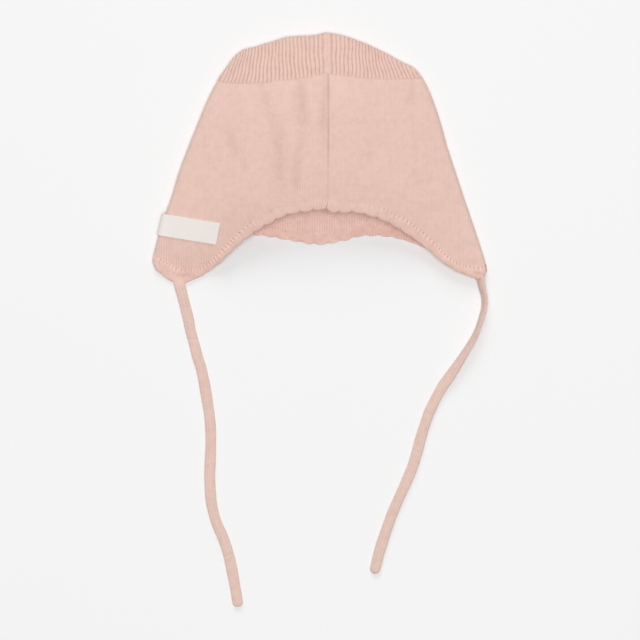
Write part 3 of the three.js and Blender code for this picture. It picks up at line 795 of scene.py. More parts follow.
@dataclass
class Columns:
    """Columns of one layer from the left fold to the right one, placed against folds and seam."""

    half: Array  # -1 left of the seam and 1 right of it
    curl: Array  # share of the fold's width that lies outside the column
    reach: Array  # share of the way from the fold to the seam
    offset: Array  # distance from the seam where reach is 1

    def x(self, form: Form, y: Array) -> Array:
        """X of each column.

        Args:
            form: the shape that the columns follow.
            y: a Y for each column, or rows of them.

        Returns:
            X in the shape of y.
        """
        left = form.left(y) + form.fold_slant * form.left_fold(y) * self.curl
        right = form.right(y) - form.fold_slant * form.right_fold(y) * self.curl
        side = np.where(self.half < 0, left, right)
        return mix(side, form.seam_x + self.offset, self.reach)


@dataclass
class BodyKnit:
    """The stockinette body: front and rear layers in one tube, from the edging to the rib."""

    wall_mm: float = 1.4
    front_columns: int = 96
    rear_columns: int = 60
    seam_columns: tuple[float, ...] = (3.0, 2.3, 1.7, 1.25, 0.9, 0.65, 0.45, 0.3, 0.15, 0.0)
    fold_steps: int = 7
    rows: int = 76
    settling: int = 12  # rounds in which the columns' feet and tops are found
    first_guess: Pair = (-45.0, 50.0)  # of their Y
    lap: float = 0.3  # how far the top runs on under the rib
    groove_depth: float = 0.6  # of the groove along the seam
    groove_width: float = 0.48
    groove_foot: float = 0.4  # share of its depth at its lower end
    groove_fade: Pair = (-14.0, 10.0)  # it deepens between these, upwards
    # Where the wales lie apart, the painted shade between them is stronger.
    spread_reach: float = 34.0  # wales lie further apart over this distance above the edging
    rear_spread: float = 0.6
    front_spread: float = 0.3  # at the middle
    flap_spread: Pair = (0.4, -0.22)  # added to that at the left and right flaps
    flap: Pair = (25.0, 65.0)  # it is added between these, from the middle
    # Painted shade in the seam's groove and in the creases, and painted light on the sinking flap's
    # slope.
    groove_shade: float = 1.5
    crease_shade: float = 0.6
    soft_share: float = 0.2  # the large soft creases are shaded by this share of that
    flap_painted_light: float = 0.85
    flat: Pair = (402.0, 121.0)
    flat_area: float = 32500.0

    def columns(self, layer: Layer) -> Columns:
        """Places a layer's columns.

        Args:
            layer: which layer.

        Returns:
            Columns that are dense round the folds and, on the front, along the seam.
        """
        front = layer is Layer.FRONT
        count = self.front_columns if front else self.rear_columns
        band = self.seam_columns if front else (0.0,)
        rows = [(c, 0.0, 0.0) for c in 1 - np.cos(quarter(self.fold_steps + 1))]
        rows += [(1.0, i / count, -band[0]) for i in range(1, count + 1)]
        rows += [(1.0, 1.0, -b) for b in band[1:]]
        left = np.array(rows)
        right = left[-2::-1] * (1, 1, -1)
        half = np.repeat([-1.0, 1.0], [len(left), len(right)])
        return Columns(half, *np.vstack([left, right]).T)

    def layer_grid(self, form: Form, rims: list[Rim], layer: Layer) -> tuple[Array, ...]:
        """Works out one layer.

        Args:
            form: the shape that it follows.
            rims: the stretches of edge that it ends at.
            layer: which layer.

        Returns:
            Points, their places in the cloth, the groove's depth, the spread, the painted shade of
            the seam's groove and the creases, and the painted light that pales the sinking flap's
            slope.
        """
        columns = self.columns(layer)
        on_left = columns.half < 0
        foot, top = (np.full(len(columns.half), guess) for guess in self.first_guess)
        for _ in range(self.settling):
            x = columns.x(form, foot)
            foot = np.where(on_left, rims[0].foot(x), rims[-1].foot(x))
            top = form.rib_line(form.across(columns.x(form, top), top)) + self.lap
        y = mix(foot, top, np.linspace(0, 1, self.rows + 1)[:, None])
        x = columns.x(form, y)
        base = self.wall_mm / 2
        z = form.height(layer, x, y, base)
        on_fold = columns.curl == 0
        z[:, on_fold] = form.fold_height(x, y, base)[:, on_fold]
        radius = np.where(on_left, form.left_fold(y), form.right_fold(y))
        angle = np.arccos(1 - columns.curl)
        slant = form.fold_slant
        bent = (slant * columns.curl - angle - (slant - math.pi / 2)) * radius
        u = x + np.where(columns.curl < 1, columns.half * bent, 0)
        front = 1.0 if layer is Layer.FRONT else 0.0
        deepening = mix(self.groove_foot, 1, ramp(y, *self.groove_fade))
        groove = front * bell(x - form.seam_x, self.groove_width) * deepening
        looser = sum(more * ramp(off, *self.flap) for more, off in zip(self.flap_spread, (-x, x)))
        spread = mix(self.rear_spread, self.front_spread + looser, front)
        spread *= fade(y - foot, self.spread_reach)
        # Painted shade darkens the seam's groove and the creases, and painted light pales the
        # sinking flap's slope.
        creased = form.crease(FINE_CREASES, x, y) + self.soft_share * form.crease(CREASES, x, y)
        shade = np.clip(self.groove_shade * groove + self.crease_shade * front * creased, 0, 1)
        painted_light = front * self.flap_painted_light * form.steepness(x, y)
        return grid(x, y, z), grid(u, y), groove, spread, shade, painted_light

    def build(self, form: Form, front: list[Rim], rear: Rim) -> Piece:
        """Builds the tube.

        Args:
            form: the shape that it follows.
            front: the left and right stretches of the front edge.
            rear: the rear edge.

        Returns:
            The piece.
        """
        layers = (
            self.layer_grid(form, front, Layer.FRONT),
            self.layer_grid(form, [rear], Layer.REAR),
        )
        points, uv, groove, spread, shade, painted_light = (
            np.concatenate([a, b[:, ::-1][:, 1:]], axis=1) for a, b in zip(*layers)
        )
        points[:, -1] = points[:, 0]
        half = np.full(groove.shape, self.wall_mm / 2)
        marks = {"shade": shade, "spread": spread, "painted_light": painted_light}
        outward = half - self.groove_depth * groove
        return wall("body_knit_cloth", Cloth(points, uv, outward, half, marks))


# ---- Crown -----------------------------------------------


@dataclass
class CrownRib:
    """The 1x1 ribbed crown: corrugated cloth, front and rear in one, closed along the top."""

    wall_mm: float = 2.0
    first: float = -0.7  # ribs are counted from the first groove that shows at the left fold
    last: float = 50.2
    seam_rib: int = 26  # grooves before the wide rib that the seam runs out in
    seam_rib_x: Pair = (1.8, 7.5)
    around: int = 102  # ribs in front and rear layers together
    rib_columns: int = 10
    rows: int = 22
    fold_rows: int = 6
    fold_end: float = 0.999  # a column outside this share of a fold's width bends with the fold
    lap: float = 0.3
    curve: float = 1.4  # above 1, a rib does most of its leaning low down
    top_slant: float = 1.12
    crest: float = 1.0
    inner_crest: float = 0.9
    plain: Pair = (0.95, 0.36)  # at the plain knit, inside and outside of the tube
    seam_depth: float = 0.25
    seam_at: float = 0.52  # the seam's line, across its rib
    seam_width: float = 0.06
    seam_rise: float = 4.0  # it deepens over this length
    seam_shade: float = 0.5
    groove: float = 0.5  # depth of a groove between two crests, as a share of the crest
    groove_power: float = 3.0  # above 2, crests are wider than grooves
    join_length: float = 1.1  # ribs rise out of the plain knit over this length
    sway: float = 0.25  # ribs wander sideways by this much
    sway_mm: float = 2.7  # the wandering's length
    sway_in: float = 5.0  # it is full past a fifth of their length from either end
    sway_by_fold: float = 8.0  # and past an eighth of the way in from a fold
    # Painted shade darkens each groove between ribs, more low down than at the top and unevenly,
    # and the seam's line.
    groove_edge: float = 0.45  # a groove is shaded from here, between a crest and its own middle
    uneven: Pair = (0.16, 0.14)  # how its shade differs by groove, and along each
    darkness: Pair = (1.12, 0.78)  # of grooves at the lower end and at the top
    flat: Pair = (264.0, 30.0)
    flat_area: float = 7200.0

    def stations(self, form: Form, layer: Layer) -> tuple[Array, Array, Array]:
        """Places of the columns on one layer.

        Args:
            form: the shape that it follows.
            layer: which layer.

        Returns:
            The count of ribs at each column, the share of a fold's width outside it, and where it
            lies across the bonnet at the rib's lower end.
        """
        y = form.rib_line(np.array([-1.0, 1.0]))
        folds = np.array([form.left_fold(y[0]), form.right_fold(y[1])])
        left, width = form.left(y[0]), form.right(y[1]) - form.left(y[0])
        arcs, spans = math.pi / 2 * folds, form.fold_slant * folds
        length = width - spans.sum() + arcs.sum()
        if layer is Layer.FRONT:
            grooves = np.array(self.seam_rib_x) - left - spans[0] + arcs[0]
            known = [self.first, self.seam_rib, self.seam_rib + 1, self.last]
            travelled = [0, *grooves, length]
        else:
            known = [self.last, self.first + self.around]
            travelled = [length, 0]
        steps = round((known[-1] - known[0]) * self.rib_columns)
        count = np.linspace(known[0], known[-1], steps + 1)
        count = count if layer is Layer.FRONT else count[::-1]
        at = np.interp(count, known, travelled)
        turned_left = np.clip(at / arcs[0], 0, 1) * math.pi / 2
        turned_right = np.clip((length - at) / arcs[1], 0, 1) * math.pi / 2
        curl_left, curl_right = 1 - np.cos(turned_left), 1 - np.cos(turned_right)
        x = spans[0] + at - arcs[0]
        x = np.where(turned_left < math.pi / 2, spans[0] * curl_left, x)
        x = np.where(turned_right < math.pi / 2, width - spans[1] * curl_right, x)
        return count, np.minimum(curl_left, curl_right), 2 * x / width - 1

    def sheet(self, form: Form, curl: Array, across: Array, layer: Layer) -> tuple[Array, Array]:
        """Works out one layer's middle surface.

        Args:
            form: the shape that it follows.
            curl: the share of a fold's width outside each column, 0 on a fold.
            across: where each column starts.
            layer: which layer.

        Returns:
            Points, and the distance of each from the rib's lower end.
        """
        base = self.wall_mm / 2
        bottom = form.rib_line(across) - self.lap
        top = form.top_y(across)
        radius = form.fold_radius(form.top_x(across), top)
        angle = quarter(self.fold_rows + 1)[::-1][:, None]
        near_top = top - self.top_slant * radius * (1 - np.cos(angle))
        share = np.linspace(0, 1, self.rows + 1)[:-1, None]
        y = np.vstack([mix(bottom, near_top[0], share), near_top])
        along = (y - bottom) / (top - bottom)
        lean = 1 - (1 - along) ** mix(self.curve, 1.0, np.abs(across) ** 3)
        x = mix(form.x_at(across, bottom), form.top_x(across), lean)
        for side, fold in ((across < 0, form.left), (across > 0, form.right)):
            in_fold = (curl < self.fold_end) & side
            off_bottom = form.x_at(across, bottom) - fold(bottom)
            off_top = form.top_x(across) - fold(top)
            bent = fold(y) + mix(off_bottom, off_top, along)
            x[:, in_fold] = bent[:, in_fold]
        z = form.height(layer, x, y, base)
        on_edge = np.zeros(x.shape, bool)
        on_edge[-1] = True
        on_edge[:, curl == 0] = True
        z[on_edge] = form.fold_height(x, y, base)[on_edge]
        return grid(x, y, z), y - bottom

    def build(self, form: Form) -> Piece:
        """Builds the crown.

        Args:
            form: the shape that it follows.

        Returns:
            The piece.
        """
        rings, sheets, rises, places = [], [], [], []
        for layer in Layer:
            count, curl, across = self.stations(form, layer)
            points, risen = self.sheet(form, curl, across, layer)
            if layer is Layer.REAR:  # the two layers share their points along the closed top
                partner = np.linspace(0, sheets[0].shape[1] - 1, points.shape[1])
                points[-1] = sheets[0][-1, np.round(partner).astype(int)]
            order = slice(None) if layer is Layer.FRONT else slice(-2, None, -1)
            rings.append(count[order])
            sheets.append(points[:, order])
            rises.append(risen[:, order])
            places.append(across[order])
        ring, across = np.concatenate(rings), np.concatenate(places)
        points, risen = np.hstack(sheets), np.hstack(rises)
        share = risen / risen[-1]
        held = smooth(self.sway_in * share) * smooth(self.sway_in * (1 - share))
        held *= smooth(self.sway_by_fold * (1 - np.abs(across)))
        points[..., 0] += self.sway * held * np.sin(risen / self.sway_mm + 1.1 * np.sin(0.7 * ring))
        phase = np.abs((ring % 1) - 0.5) * 2
        outward = self.crest * (1 - self.groove * phase**self.groove_power)
        inward = self.inner_crest * (1 - self.groove * (1 - phase) ** self.groove_power)

        # The seam shows as a fine line down the middle of the wide rib.
        front = (np.arange(len(ring)) < len(rings[0])).astype(float)
        seam = bell(ring - self.seam_rib - self.seam_at, self.seam_width)
        seam = front * seam * smooth(risen / self.seam_rise)
        outward = outward - self.seam_depth * seam

        # The lower end matches the plain knit, whose wall is thinner and lies nearer the surface.
        front[[0, len(rings[0]) - 1, -1]] = 0.5
        join = smooth(risen / self.join_length)
        outward = mix(mix(*self.plain, front), outward, join)
        inward = mix(mix(*self.plain[::-1], front), inward, join)
        # Painted shade in the grooves and along the seam's line.
        nearest = np.round(ring)
        by_groove, along_it = self.uneven
        dark = 1 + by_groove * np.sin(2.1 * nearest)
        dark = (dark + along_it * np.sin(risen / 1.9 + 3.3 * nearest)) * mix(*self.darkness, share)
        shade = ramp(phase, self.groove_edge, 1) * join * dark + self.seam_shade * seam
        shade = np.clip(shade, 0, 1)
        cloth = Cloth(points, grid(ring, risen), outward, inward, {"shade": shade})
        return wall("crown_rib_cloth", cloth)


# ---- Edging ----------------------------------------------


@dataclass
class Dent:
    """A place where the edging is pressed in, and darkened by painted shade. Its length runs along
    X and its width along Y.
    """

    x: float
    y: float
    length: float
    width: float
    depth: float
    shade: float
    lean: float = 0.0  # how far it falls for each millimetre along X

    def shape(self, x: Array, y: Array) -> Array:
        """How far points lie in it, 1 at its middle."""
        off = x - self.x
        return bell(off, self.length) * bell(y - self.y + self.lean * off, self.width)


@dataclass
class Edging:
    """The folded double edge with small scallops, which runs from the seam all the way round."""

    wall_mm: float = 2.2
    rest: tuple[float, ...] = (1.9, 2.7, 3.5, 4.3, 5.0, 5.6, 6.0, 6.3, 6.6, 6.9, 7.2)
    lap: float = 0.5  # how far it runs on over the body
    round_mm: float = 1.3  # width of the rounded outside
    round_rows: int = 7
    flap: Pair = (26.0, 60.0)  # between these, from the middle, a flap's look starts
    # Half a wall away from the body and at it, and how far from it that changes.
    surface_half: tuple[float, float, float] = (1.1, 1.04, 5.0)
    level_half: tuple[float, float, float] = (0.82, 0.26, 7.0)
    proud_half: tuple[float, float, float] = (0.6, 0.34, 2.2)
    wale_mm: float = 1.66  # five to a scallop
    wale_depth: float = 0.1
    ribbed: Pair = (8.0, 34.0)  # between these along X the rear edge gets ribs
    rib_depth: float = 1.5  # which are as much deeper than wales, as a share of their depth
    link_mm: float = 2.7  # pitch of the stitches that link it to the body
    link_depth: float = 0.45
    link_low: float = 0.1  # share of that away from the flaps
    gap_at: float = 0.1  # distance of the gaps between those stitches from the link line
    gap_size: Pair = (0.45, 0.85)  # along the edge and across it
    loop_share: float = 0.8  # height of the stitches, as a share of the gaps' depth
    loop_at: float = 1.4
    loop_size: Pair = (0.6, 1.5)
    pinch_depth: float = 0.4  # the cloth is drawn in at each cusp
    pinch_width: float = 0.6
    pinch_reach: float = 3.0
    flat_flap: float = 0.7  # and by this share less along the flaps
    fold_side: float = 0.84  # on the body's side folds it lies just outside the body's cloth
    dents: tuple[Dent, ...] = (
        Dent(-87.0, -75.4, 4.5, 1.5, 0.5, 0.6),  # above the left tie, where the edge is puckered
        Dent(101.8, -74.1, 4.4, 0.8, 0.35, 0.84, 0.19),  # the tuck at the right flap's tip
    )
    wale_shade: Pair = (0.6, 0.95)  # painted shade between wales, and between the rear's ribs
    wale_reach: Pair = (3.4, 11.0)  # how far that goes in from the outside
    gap_shade: float = 1.5
    mouth_shade: float = 1.2  # width of the painted shadow on the front edge's rim at the mouth
    cusp_shade: float = 0.6
    cusp_size: Pair = (0.45, 1.8)  # along the edge and across it
    spread: float = 0.7
    # painted light that pales the sinking flap's slope
    flap_painted_light: float = 0.75

    def stretch(self, form: Form, rim: Rim, folds: tuple[bool, bool], travelled: float) -> Array:
        """Works out the band along one stretch of edge.

        Args:
            form: the shape that it follows.
            rim: the stretch.
            folds: whether it starts, and whether it ends, at a side fold.
            travelled: length of edge before it.

        Returns:
            Rows by columns by nine: X, Y, Z, distance from the outside, length along the edge, 1
            on the front, distance from a cusp, the band's width and how far it faces sideways.
        """
        base = self.wall_mm / 2
        across = np.concatenate([(1 - np.cos(quarter(self.round_rows))) * self.round_mm, self.rest])
        share = rim.shares(folds)
        edge, link = rim.lines(share)
        width = np.linalg.norm(link - edge, axis=1)
        place = (across / self.rest[-1])[:, None] * (1 + self.lap / width)
        straight = mix(edge[:, 0], link[:, 0], place)
        y = mix(edge[:, 1], link[:, 1], place)
        x = np.clip(straight, form.left(y), form.right(y))
        z = form.height(rim.layer, x, y, base)
        radius = form.fold_radius(x, y)
        sideways = 1 - form.turned(x, y, radius) / radius
        front = np.full(x.shape, 1.0 if rim.layer is Layer.FRONT else 0.0)
        ends = [column for column, fold in zip((0, -1), folds) if fold]
        z[:, ends] = form.fold_height(x[:, ends], y[:, ends], base)
        front[:, ends], sideways[:, ends] = 0.5, 1.0
        along = travelled + share * rim.edge_length[-1]
        cusp = off_whole(share * rim.lobes) * rim.scallop_pitch
        block = grid(x, y, z, place * width, along, front, cusp, width, sideways)
        for column in ends:  # what would lie past the fold is drawn in to it
            past = (np.abs(straight - x) > 1e-4) & ((x < 0) == (x[0, column] < 0))
            block = np.where(past[..., None], block[:, [column]], block)
        return block

    def build(self, form: Form, right: Rim, rear: Rim, left: Rim) -> Piece:
        """Builds the band.

        Args:
            form: the shape that it follows.
            right: the front edge right of the seam.
            rear: the rear edge.
            left: the front edge left of the seam.

        Returns:
            The piece.
        """
        blocks, travelled = [], 0.0
        for rim, folds in ((right, (False, True)), (rear, (True, True)), (left, (True, False))):
            block = self.stretch(form, rim, folds, travelled)
            blocks.append(block[:, 1:] if blocks else block)
            travelled += rim.edge_length[-1]
        x, y, z, depth, along, front, cusp, width, sideways = np.moveaxis(np.hstack(blocks), 2, 0)
        for fold in np.cumsum([block.shape[1] for block in blocks])[:2] - 1:
            sides = z[:, fold - 1], z[:, fold + 1]
            z[:, fold] = np.clip(z[:, fold], np.minimum(*sides), np.maximum(*sides))

        # The side towards the body's outside stands above it at the flaps and is level with it
        # elsewhere. The side on the surface goes down to the surface.
        rounded = rounding(depth, self.round_mm)
        to_link = width - depth
        in_lap = to_link + self.lap
        at_flap = ramp(np.abs(x), *self.flap)
        outside, level, proud = (
            mix(away, close, fade(in_lap, reach))
            for away, close, reach in (self.surface_half, self.level_half, self.proud_half)
        )
        top = mix(level, mix(level, proud, at_flap), front)
        upper = front > 0  # the front edge and the folds
        outward = np.where(upper, top, outside)
        outward = np.maximum(outward, self.fold_side * sideways)
        inward = np.where(upper, outside, top)

        # Wales run square to the edge. Where the flaps' edge is linked to the body, gaps sink
        # between loops that stand out; the gaps also get painted shade and the loops painted light.
        between = 0.5 - 0.5 * np.cos(2 * math.pi * along / self.wale_mm)
        link_turn = along / self.link_mm + 0.12 * np.sin(along / 3.1)
        off_gap = off_whole(link_turn) * self.link_mm
        linked = front * mix(self.link_low, 1.0, at_flap)
        linked = linked * (0.84 + 0.16 * np.sin(2.7 * np.floor(link_turn + 0.5)))
        gaps = linked * bell(off_gap, self.gap_size[0])
        gaps *= bell(to_link - self.gap_at, self.gap_size[1])
        loops = linked * bell(self.link_mm / 2 - off_gap, self.loop_size[0])
        loops *= bell(to_link - self.loop_at, self.loop_size[1])
        ribbed = (1 - front) * ramp(x, *self.ribbed)
        wales = self.wale_depth * (0.5 - between) * (1 + self.rib_depth * ribbed)
        wales += self.link_depth * (self.loop_share * loops - gaps)
        wales *= smooth(depth) * ramp(in_lap, -0.4, 0.5)
        pinch = self.pinch_depth * bell(cusp, self.pinch_width) * fade(depth, self.pinch_reach)
        pinch *= 1 - self.flat_flap * at_flap
        outward = (outward + wales - pinch) * rounded
        inward = (inward + wales - pinch) * rounded

        # Painted shade lies between wales, in gaps, on the front edge's rim at the mouth for the
        # shadow under it, at cusps and in dents.
        reach = mix(*self.wale_reach, ribbed)
        shade = mix(*self.wale_shade, ribbed) * between**2 * fade(depth, reach)
        shade += self.gap_shade * gaps + fade(depth, self.mouth_shade) * front * (1 - at_flap)
        at_cusp = self.cusp_shade * bell(cusp, self.cusp_size[0]) * fade(depth, self.cusp_size[1])
        shade += at_cusp * (1 - self.cusp_shade * at_flap)
        for dent in self.dents:
            pressed = dent.shape(x, y) * front
            outward -= dent.depth * pressed
            shade += dent.shade * pressed
        # Painted light pales the loops that stand out and the sinking flap's slope.
        painted_light = loops + self.flap_painted_light * front * form.steepness(x, y)
        marks = {"shade": shade, "spread": np.full(x.shape, self.spread), "painted_light": painted_light}
        marks = {name: np.clip(values, 0, 1) for name, values in marks.items()}
        cloth = Cloth(grid(x, y, z), grid(along, depth), outward, inward, marks)
        return wall("scalloped_edging", cloth)


# ---- Seam ------------------------------------------------


@dataclass
class FrontSeam:
    """The seam allowance inside the centre front, bound with overlock thread."""

    bottom: float = -26.0
    top: float = 53.0
    width: float = 3.4
    depth: float = 1.0
    squareness: float = 0.6
    end_mm: float = 1.5
    thread_pitch: float = 1.3
    thread_depth: float = 0.12
    thread_steps: int = 6
    sides: int = 20
    clearance: float = 0.06

    def build(self, form: Form) -> Piece:
        """Builds the ridge.

        Args:
            form: the shape that it follows.

        Returns:
            The piece.
        """
        steps = int((self.top - self.bottom) / self.thread_pitch * self.thread_steps)
        y = np.linspace(self.bottom, self.top, steps + 1)[:, None]
        angle = np.linspace(0, 2 * math.pi, self.sides + 1)
        end = rounding(np.minimum(y - self.bottom, self.top - y), self.end_mm)
        wound = np.cos(2 * math.pi * y / self.thread_pitch + np.sin(angle))
        bound = (1 + self.thread_depth * wound) / (1 + self.thread_depth)
        x = form.seam_x + squared(np.cos(angle), self.squareness) * self.width / 2 * end
        under = form.front(x, np.broadcast_to(y, x.shape), 0.0) - self.clearance
        thick = squared(np.sin(angle), self.squareness) * self.depth / 2 * end * bound
        uv = grid(angle * self.width / 6, y)  # one turn spans its width of cloth
        piece = tube("front_seam_overlock", grid(x, y, under - self.depth / 2 + thick), uv, False)
        bpy.ops.object.shade_smooth()
        return piece


# ---- Label -----------------------------------------------


@dataclass
class SideLabel:
    """The bare woven label on the left flap, which runs onto the fold, its ends turned under."""

    cloth: float = 0.5
    body_wall: float = 1.4
    clearance: float = 0.12
    hem: float = 3.0
    hem_step: float = 0.3
    stitch_at: float = 0.35  # a row of stitches presses the tape in, this far past the hem
    stitch_depth: float = 0.1
    stitch_width: float = 0.25
    length: float = 37.5
    width: float = 14.0
    fold: float = 2.1  # how much of its length turns with the body's fold
    stands_off: float = 1.4  # its upper end at the fold is stiff and stands off the knit
    stands_off_low: float = 0.25  # share of that at its lower side
    stiff_mm: float = 9.0  # it lies close past this distance from the fold
    steps: tuple[int, int, int] = (8, 59, 21)  # round the fold, along the rest and up
    fold_y: Pair = (-49.6, -36.0)  # its lower and upper side, at the fold
    front_y: Pair = (-55.2, -41.7)  # and at its front end
    front_x: Pair = (-66.3, -63.5)

    def surface(self, form: Form, along: Array, up: Array) -> Array:
        """Points of the body's middle under the label.

        Args:
            form: the shape that the body follows.
            along: places from 0 at the fold to 1 at the front end.
            up: places from 0 at the lower side to 1 at the upper one.

        Returns:
            Points, in the shape of along with an axis of 3 added.
        """
        y = mix(mix(*self.fold_y, up), mix(*self.front_y, up), along)
        x = mix(form.left(y), mix(*self.front_x, up), along)
        z = form.front(x, y, self.body_wall / 2)
        on_fold = along <= 0
        z[on_fold] = form.fold_height(x, y, self.body_wall / 2)[on_fold]
        return grid(x, y, z)

    def build(self, form: Form) -> Piece:
        """Builds the tape.

        Args:
            form: the shape that the body follows.

        Returns:
            The piece.
        """
        in_fold = self.fold / self.length
        round_fold, onward, upward = self.steps
        turning = in_fold * (1 - np.cos(quarter(round_fold + 1)[:-1]))
        along = np.concatenate([turning, np.linspace(in_fold, 1, onward + 1)])
        a, b = np.meshgrid(along, np.linspace(0, 1, upward + 1))
        here = self.surface(form, a, b)
        normal = unit(np.cross(np.gradient(here, axis=1), np.gradient(here, axis=0)))
        normal[:, 0] = (-1, 0, 0)
        points = here + normal * (self.body_wall / 2 + self.clearance + self.cloth / 2)
        by_fold = 1 - smooth(a * self.length / self.stiff_mm)
        points[..., 0] -= self.stands_off * mix(self.stands_off_low, 1.0, b) * by_fold
        length = lengths(points[upward // 2])
        ends = (self.hem - length, length - length[-1] + self.hem)
        hem = sum(smooth(end / self.hem_step + 0.5) for end in ends)
        stitch = self.stitch_depth * bell(length - self.hem - self.stitch_at, self.stitch_width)
        outward = np.tile(self.cloth / 2 * (0.8 + 0.5 * hem) - stitch, (len(a), 1))
        inward = np.full(a.shape, self.cloth / 2)
        cloth = Cloth(points, grid(length, b * self.width), outward, inward)
        return wall("side_label_tape", cloth)


# ---- Ties ------------------------------------------------


@dataclass
class Wrinkle:
    """A small crease across a tie: its place along it, its depth and how it slants."""

    at: float
    depth: float
    slant: float
    width: float = 0.7


@dataclass
class Tie:
    """A flat knitted tube sewn into the edging at one end, with a rounded closed free end."""

    name: str
    route: Table
    root_back: float  # how far it starts inside the edging
    root_height: float
    root_turn: float
    wrinkles: tuple[Wrinkle, ...] = ()
    width: float = 6.6
    cloth: float = 2.0
    sides: int = 40
    step: float = 0.6
    wales: int = 5
    wale_depth: float = 0.07
    root_mm: float = 4.0  # it is pinched over this length at its root
    root_share: Pair = (0.93, 0.5)  # of its width and its thickness there
    end_mm: float = 3.2
    end_angle: float = math.radians(60)  # edges sharper than this stay sharp
    flatness: Pair = (0.75, 0.55)  # its section is rounder at 1
    samples: int = 4001

    def centres(self) -> tuple[Array, Array, Array]:
        """Places the tube's rings.

        Returns:
            The middle of each ring, how far it is turned in degrees, and the length before it.
        """
        points = grid(*(self.route[name] for name in ("x", "y", "z")))
        root = points[0] + self.root_back * unit(points[0] - points[1])
        root[2] = self.root_height
        points = np.vstack([root, points])
        fine = np.linspace(0, 1, self.samples)
        travelled = lengths(through(points, fine))
        rings = int(travelled[-1] / self.step)
        place = np.interp(np.linspace(0, travelled[-1], rings + 1), travelled, fine)
        turns = [self.root_turn, *self.route["turn"]]
        turn = np.interp(place, np.linspace(0, 1, len(points)), turns)
        return through(points, place), turn, np.interp(place, fine, travelled)

    def build(self) -> Piece:
        """Builds the tube.

        Returns:
            The piece.
        """
        centre, turn, travelled = self.centres()
        forward = unit(np.gradient(centre, axis=0))
        flat = unit(grid(-forward[:, 1], forward[:, 0], 0.0))
        over = np.cross(forward, flat)
        angle = np.radians(turn)[:, None]
        side = flat * np.cos(angle) + over * np.sin(angle)
        up = np.cross(forward, side)

        # Its section is flat and its width wavers by a few hundredths.
        around = np.linspace(0, 2 * math.pi, self.sides + 1)
        wide = squared(np.cos(around), self.flatness[0])
        thick = squared(np.sin(around), self.flatness[1])
        breadth = 1 + 0.025 * np.sin(travelled / 9.0) + 0.02 * np.sin(travelled / 3.7 + 1.0)
        travelled = travelled[:, None]
        end = rounding(travelled[-1] - travelled, self.end_mm)
        start = np.clip(travelled / self.root_mm, 0, 1)
        half_wide = self.width / 2 * breadth[:, None] * end
        half_wide *= mix(self.root_share[0], 1.0, start)
        half_thick = self.cloth / 2 * np.sqrt(end) * mix(self.root_share[1], 1.0, start)
        wale = self.wale_depth * np.cos(math.pi * self.wales * wide) * np.abs(thick)
        crease = np.zeros((len(centre), len(around)))
        for wrinkle in self.wrinkles:
            off = travelled - wrinkle.at - wrinkle.slant * wide
            crease += wrinkle.depth * bell(off, wrinkle.width) * (1 - 0.5 * wide**2)
        lift = thick * (half_thick + wale * end) - crease * np.clip(thick, 0, 1)
        sideways = (wide * half_wide)[..., None]
        points = centre[:, None] + side[:, None] * sideways + up[:, None] * lift[..., None]
        uv = grid(np.abs((around / math.pi) - 1) * self.width, travelled)
        piece = tube(self.name, points, uv, True)
        bpy.ops.object.shade_smooth_by_angle(angle=self.end_angle)
        return piece

    def declare(self, piece: Piece) -> None:
        """Works out the tie's route and its length, and does nothing more with them.

        Args:
            piece: the tube, not used.
        """
        centre, _, travelled = self.centres()


# ---- Finishes --------------------------------------------


def linear(hex_colour: str) -> tuple[float, float, float, float]:
    """Turns an sRGB hex colour into the linear one that a shader takes."""
    values = [int(hex_colour[i : i + 2], 16) / 255 for i in (1, 3, 5)]
    return (*(v / 12.92 if v <= 0.04045 else ((v + 0.055) / 1.055) ** 2.4 for v in values), 1.0)


def add_node(
    tree: bpy.types.NodeTree,
    kind: str,
    settings: dict[str | int, object] | None = None,
    links: dict[str | int, bpy.types.Node | bpy.types.NodeSocket] | None = None,
) -> bpy.types.Node:
    """Adds a node.

    Args:
        tree: the node tree.
        kind: the node's type, without the prefix that all shader nodes share.
        settings: values for its inputs, by name or number, and for its own properties.
        links: for its inputs, by name or number, a socket, or a node for its first output.

    Returns:
        The node.
    """
    node = tree.nodes.new("ShaderNode" + kind)
    for name, value in (settings or {}).items():
        if isinstance(name, int) or name in node.inputs:
            node.inputs[name].default_value = value
        else:
            setattr(node, name, value)
    for name, source in (links or {}).items():
        socket = source.outputs[0] if isinstance(source, bpy.types.Node) else source
        tree.links.new(socket, node.inputs[name])
    return node


def blank_material(name: str) -> tuple[bpy.types.Material, bpy.types.NodeTree]:
    """Makes a material with no nodes.

    Args:
        name: what the real material is.

    Returns:
        The material and its node tree.
    """
    made = bpy.data.materials.new(name)
    made.use_nodes = True
    made.node_tree.nodes.clear()
    return made, made.node_tree


def on_cloth(tree: bpy.types.NodeTree, across: float, along: float) -> bpy.types.Node:
    """Reads the cloth's own UV.

    Args:
        tree: the node tree.
        across: repeats for each unit of U.
        along: repeats for each unit of V.

    Returns:
        The node whose X and Y count the repeats.
    """
    cloth = add_node(tree, "UVMap", {"uv_map": UV_NAME})
    scaled = add_node(tree, "Mapping", {"Scale": (across, along, 1)}, {"Vector": cloth})
    return add_node(tree, "SeparateXYZ", links={"Vector": scaled})


